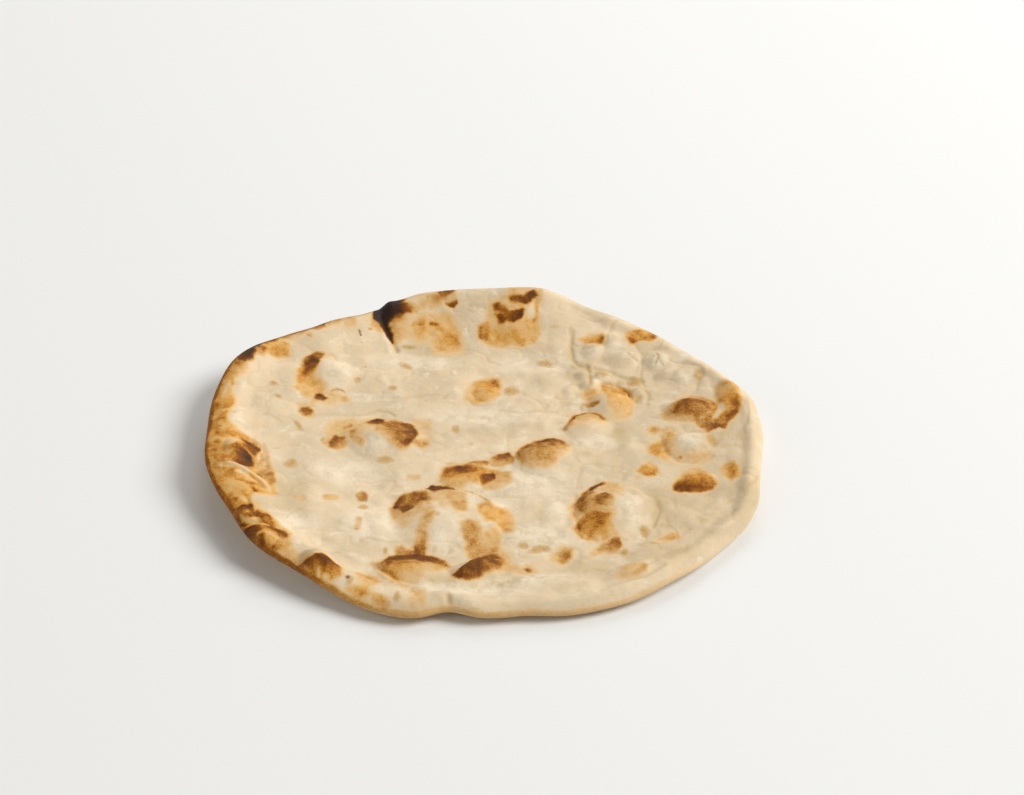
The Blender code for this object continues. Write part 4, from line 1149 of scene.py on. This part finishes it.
# colour of the duller dough, which also stands in for painted shade
DULL_AND_SHADE = linear(206, 182, 142)
OLIVE = linear(188, 142, 58)
# colour of the painted shade in creases, bands and shaded spots
SHADE = linear(190, 160, 102)
GREY = linear(180, 158, 118)

# Browning: the tones, and the colour that ordinary and golden marks have at each.
TONES = (0.0, 0.14, 0.28, 0.38, 0.47, 0.55, 0.62, 0.69, 0.78, 0.88, 1.0)
TAN = [
    (230, 205, 168), (228, 197, 151), (221, 182, 128), (213, 168, 106), (201, 150, 84), (185, 129, 58),
    (164, 105, 34), (139, 82, 18), (112, 62, 12), (76, 45, 18), (38, 29, 26),
]
GOLDEN = [
    (232, 206, 164), (232, 198, 146), (229, 184, 119), (223, 170, 94), (212, 152, 66), (195, 129, 42),
    (170, 104, 22), (142, 80, 12), (112, 59, 8), (76, 44, 16), (38, 29, 26),
]

# Noises: size in millimetres, detail and roughness.
BROAD = (26.0, 3.0, 0.55)
MOTTLE = (7.5, 4.0, 0.6)
BLOTCH = (4.2, 3.0, 0.6)
LUMPS = (3.4, 2.0, 0.55)
GRAIN = (1.5, 3.0, 0.65)
SPECKLE = (0.75, 2.0, 0.7)

# Spans: the values between which each rises, and what it rises from and to.
BEIGE_SPAN = (0.36, 0.64)
WARM_SPAN = (0.50, 0.72, 0.0, 0.55)
PALE_SPAN = (0.46, 0.26, 0.0, 0.65)
FLOUR_SPAN = (0.34, 0.58, 0.0, 0.80)
DULL_AND_SHADE_SPAN = (0.30, 0.62, 0.35, 0.8)
GREY_SPAN = (0.54, 0.74, 0.0, 0.20)
OLIVE_SPAN = (0.30, 0.62, 0.56, 0.88)
SHADE_SHARE = 0.75
BREAK_UP = 0.26              # how far the noises break up the tone, most at middling tones
BREAK_UP_START = (0.04, 0.40)
BREAK_UP_END = (0.60, 0.95, 1.0, 0.35)
RAGGEDNESS = 5.0             # how far the speckles break up the edges of the marks
COVER_SPAN = (0.02, 0.98)
FIRST_TONES = (0.03, 0.20)   # tones over which the browning begins to show
ROUGHNESS_SPAN = (0.3, 0.9, 0.72, 0.58)
SPECULAR = 0.20
BUMP_DEPTH = 0.35
BUMP_STRENGTH = 0.55
BUMP_SHARES = (0.7, 0.4, 1.0)   # of the grain, the speckles and the lumps


class Nodes:
    """Short ways to add nodes to one material."""

    def __init__(self, tree):
        self.tree = tree

    def plug(self, socket, value):
        if isinstance(value, bpy.types.NodeSocket):
            self.tree.links.new(value, socket)
        else:
            socket.default_value = value

    def attribute(self, name):
        node = self.tree.nodes.new("ShaderNodeAttribute")
        node.attribute_name = name
        return node.outputs["Fac"]

    def noise(self, vector, size, detail, roughness):
        node = self.tree.nodes.new("ShaderNodeTexNoise")
        node.inputs["Scale"].default_value = 1 / (size * MM)
        node.inputs["Detail"].default_value = detail
        node.inputs["Roughness"].default_value = roughness
        self.plug(node.inputs["Vector"], vector)
        return node.outputs["Fac"]

    def math(self, kind, a, b):
        node = self.tree.nodes.new("ShaderNodeMath")
        node.operation = kind
        self.plug(node.inputs[0], a)
        self.plug(node.inputs[1], b)
        return node.outputs[0]

    def product(self, a, b):
        return self.math("MULTIPLY", a, b)

    def total(self, values):
        result = values[0]
        for value in values[1:]:
            result = self.math("ADD", result, value)
        return result

    def span(self, value, low, high, to_low=0.0, to_high=1.0):
        node = self.tree.nodes.new("ShaderNodeMapRange")
        node.interpolation_type = "SMOOTHSTEP"
        self.plug(node.inputs["Value"], value)
        limits = {"From Min": low, "From Max": high, "To Min": to_low, "To Max": to_high}
        for name, number in limits.items():
            node.inputs[name].default_value = number
        return node.outputs["Result"]

    def mix(self, share, a, b):
        node = self.tree.nodes.new("ShaderNodeMix")
        node.data_type = "RGBA"
        self.plug(node.inputs["Factor"], share)
        self.plug(node.inputs[6], a)
        self.plug(node.inputs[7], b)
        return node.outputs[2]

    def ramp(self, value, colours):
        node = self.tree.nodes.new("ShaderNodeValToRGB")
        band = node.color_ramp
        stops = [(tone, linear(*colour)) for tone, colour in zip(TONES, colours)]
        band.elements[0].position, band.elements[0].color = stops[0]
        band.elements[1].position, band.elements[1].color = stops[-1]
        for position, colour in stops[1:-1]:
            band.elements.new(position).color = colour
        self.plug(node.inputs["Fac"], value)
        return node.outputs["Color"]


def baked_dough():
    """Cream dough, mottled and floury, browned and charred where it is scorched, with painted shade in
    its creases and greyer patches.
    """
    material = bpy.data.materials.new("baked_dough")
    material.use_nodes = True
    n = Nodes(material.node_tree)
    shader = material.node_tree.nodes["Principled BSDF"]
    place = material.node_tree.nodes.new("ShaderNodeTexCoord").outputs["Object"]

    broad = n.noise(place, *BROAD)
    mottle = n.noise(place, *MOTTLE)
    blotch = n.noise(place, *BLOTCH)
    grain = n.noise(place, *GRAIN)
    speckle = n.noise(place, *SPECKLE)

    dough = n.mix(n.span(broad, *BEIGE_SPAN), CREAM, BEIGE)
    dough = n.mix(n.span(mottle, *WARM_SPAN), dough, WARM)
    dough = n.mix(n.span(mottle, *PALE_SPAN), dough, PALE)
    # greyer dough, partly painted shade, over the dull patches
    dough = n.mix(n.product(n.attribute("dull_and_shade"), n.span(broad, *DULL_AND_SHADE_SPAN)), dough, DULL_AND_SHADE)
    dough = n.mix(n.product(n.attribute("flour"), n.span(mottle, *FLOUR_SPAN)), dough, PALE)
    dough = n.mix(n.span(grain, *GREY_SPAN), dough, GREY)
    dough = n.mix(n.product(n.attribute("olive"), n.span(grain, *OLIVE_SPAN)), dough, OLIVE)
    # painted shade in creases, wrinkles, bands and spots
    dough = n.mix(n.product(n.attribute("shade"), SHADE_SHARE), dough, SHADE)

    tone = n.attribute("scorch")
    cover = n.attribute("cover")
    middling = n.product(n.span(tone, *BREAK_UP_START), n.span(tone, *BREAK_UP_END))
    break_up = [n.product(n.math("SUBTRACT", noise, 0.5), BREAK_UP) for noise in (blotch, speckle, grain)]
    tone = n.math("ADD", tone, n.product(n.total(break_up), middling))
    ragged = n.product(n.product(cover, n.math("SUBTRACT", 1.0, cover)), RAGGEDNESS)
    cover = n.math("ADD", cover, n.product(ragged, n.math("SUBTRACT", speckle, 0.5)))
    cover = n.product(n.span(cover, *COVER_SPAN), n.span(tone, *FIRST_TONES))
    browned = n.mix(n.attribute("golden"), n.ramp(tone, TAN), n.ramp(tone, GOLDEN))
    n.plug(shader.inputs["Base Color"], n.mix(cover, dough, browned))
    n.plug(shader.inputs["Roughness"], n.span(tone, *ROUGHNESS_SPAN))
    shader.inputs["Specular IOR Level"].default_value = SPECULAR

    bump = material.node_tree.nodes.new("ShaderNodeBump")
    bump.inputs["Distance"].default_value = BUMP_DEPTH * MM
    bump.inputs["Strength"].default_value = BUMP_STRENGTH
    noises = (grain, speckle, n.noise(place, *LUMPS))
    heights = [n.product(noise, share) for noise, share in zip(noises, BUMP_SHARES)]
    n.plug(bump.inputs["Height"], n.total(heights))
    n.plug(shader.inputs["Normal"], bump.outputs["Normal"])
    return material


def plain(name, colour, roughness):
    material = bpy.data.materials.new(name)
    material.use_nodes = True
    shader = material.node_tree.nodes["Principled BSDF"]
    shader.inputs["Base Color"].default_value = colour
    shader.inputs["Roughness"].default_value = roughness
    return material


# ---- floor, light and camera --------------------------------------------------------------------
FLOOR_REACH = 14.0
FLOOR_SIDES = 64
FLOOR_COLOUR = linear(240, 240, 238)
FLOOR_ROUGHNESS = 0.9
WORLD_STRENGTH = 0.23
WORLD_COLOUR = (1.0, 0.97, 0.92, 1.0)
KEY = dict(place=(3.5, 0.1, 2.9), size=2.6, power=190.0)
FILL = dict(place=(0.3, 2.0, 1.7), size=2.0, power=20.0)
LEFT_FILL = dict(place=(-2.8, -0.9, 1.3), size=2.6, power=21.0)
CAMERA_PLACE = (0.0145, -0.96034, 0.73012)
CAMERA_TILT = 54.3965
CAMERA_LENS = 78.6
CAMERA_SENSOR = 36.0
CAMERA_CLIP = (0.01, 100.0)


def add_floor():
    mesh = bmesh.new()
    bmesh.ops.create_circle(mesh, cap_ends=True, segments=FLOOR_SIDES, radius=FLOOR_REACH)
    data = bpy.data.meshes.new("floor")
    mesh.to_mesh(data)
    mesh.free()
    floor = bpy.data.objects.new("floor", data)
    data.materials.append(plain("floor_white", FLOOR_COLOUR, FLOOR_ROUGHNESS))
    bpy.context.scene.collection.objects.link(floor)


def add_light(name, place, size, power):
    data = bpy.data.lights.new(name, "AREA")
    data.shape = "DISK"
    data.size = size
    data.energy = power
    light = bpy.data.objects.new(name, data)
    light.location = place
    x, y, z = place
    light.rotation_euler = (math.acos(z / math.hypot(x, y, z)), 0.0, math.atan2(-y, -x) - math.pi / 2)
    bpy.context.scene.collection.objects.link(light)


def add_camera():
    data = bpy.data.cameras.new("camera")
    data.lens = CAMERA_LENS
    data.sensor_width = CAMERA_SENSOR
    data.clip_start, data.clip_end = CAMERA_CLIP
    camera = bpy.data.objects.new("camera", data)
    camera.location = CAMERA_PLACE
    camera.rotation_euler = (math.radians(CAMERA_TILT), 0.0, 0.0)
    bpy.context.scene.collection.objects.link(camera)
    bpy.context.scene.camera = camera


def set_world():
    world = bpy.data.worlds.new("soft_warm_white")
    world.use_nodes = True
    background = world.node_tree.nodes["Background"]
    background.inputs["Color"].default_value = WORLD_COLOUR
    background.inputs["Strength"].default_value = WORLD_STRENGTH
    bpy.context.scene.world = world
    bpy.context.scene.view_settings.view_transform = "Standard"


bread = bpy.data.objects.new("bread", bread_mesh())
bread.data.materials.append(baked_dough())
bpy.context.scene.collection.objects.link(bread)
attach(bread, "root")
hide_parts("tannour_bread")
add_floor()
add_light("key", **KEY)
add_light("fill", **FILL)
add_light("left_fill", **LEFT_FILL)
add_camera()
set_world()
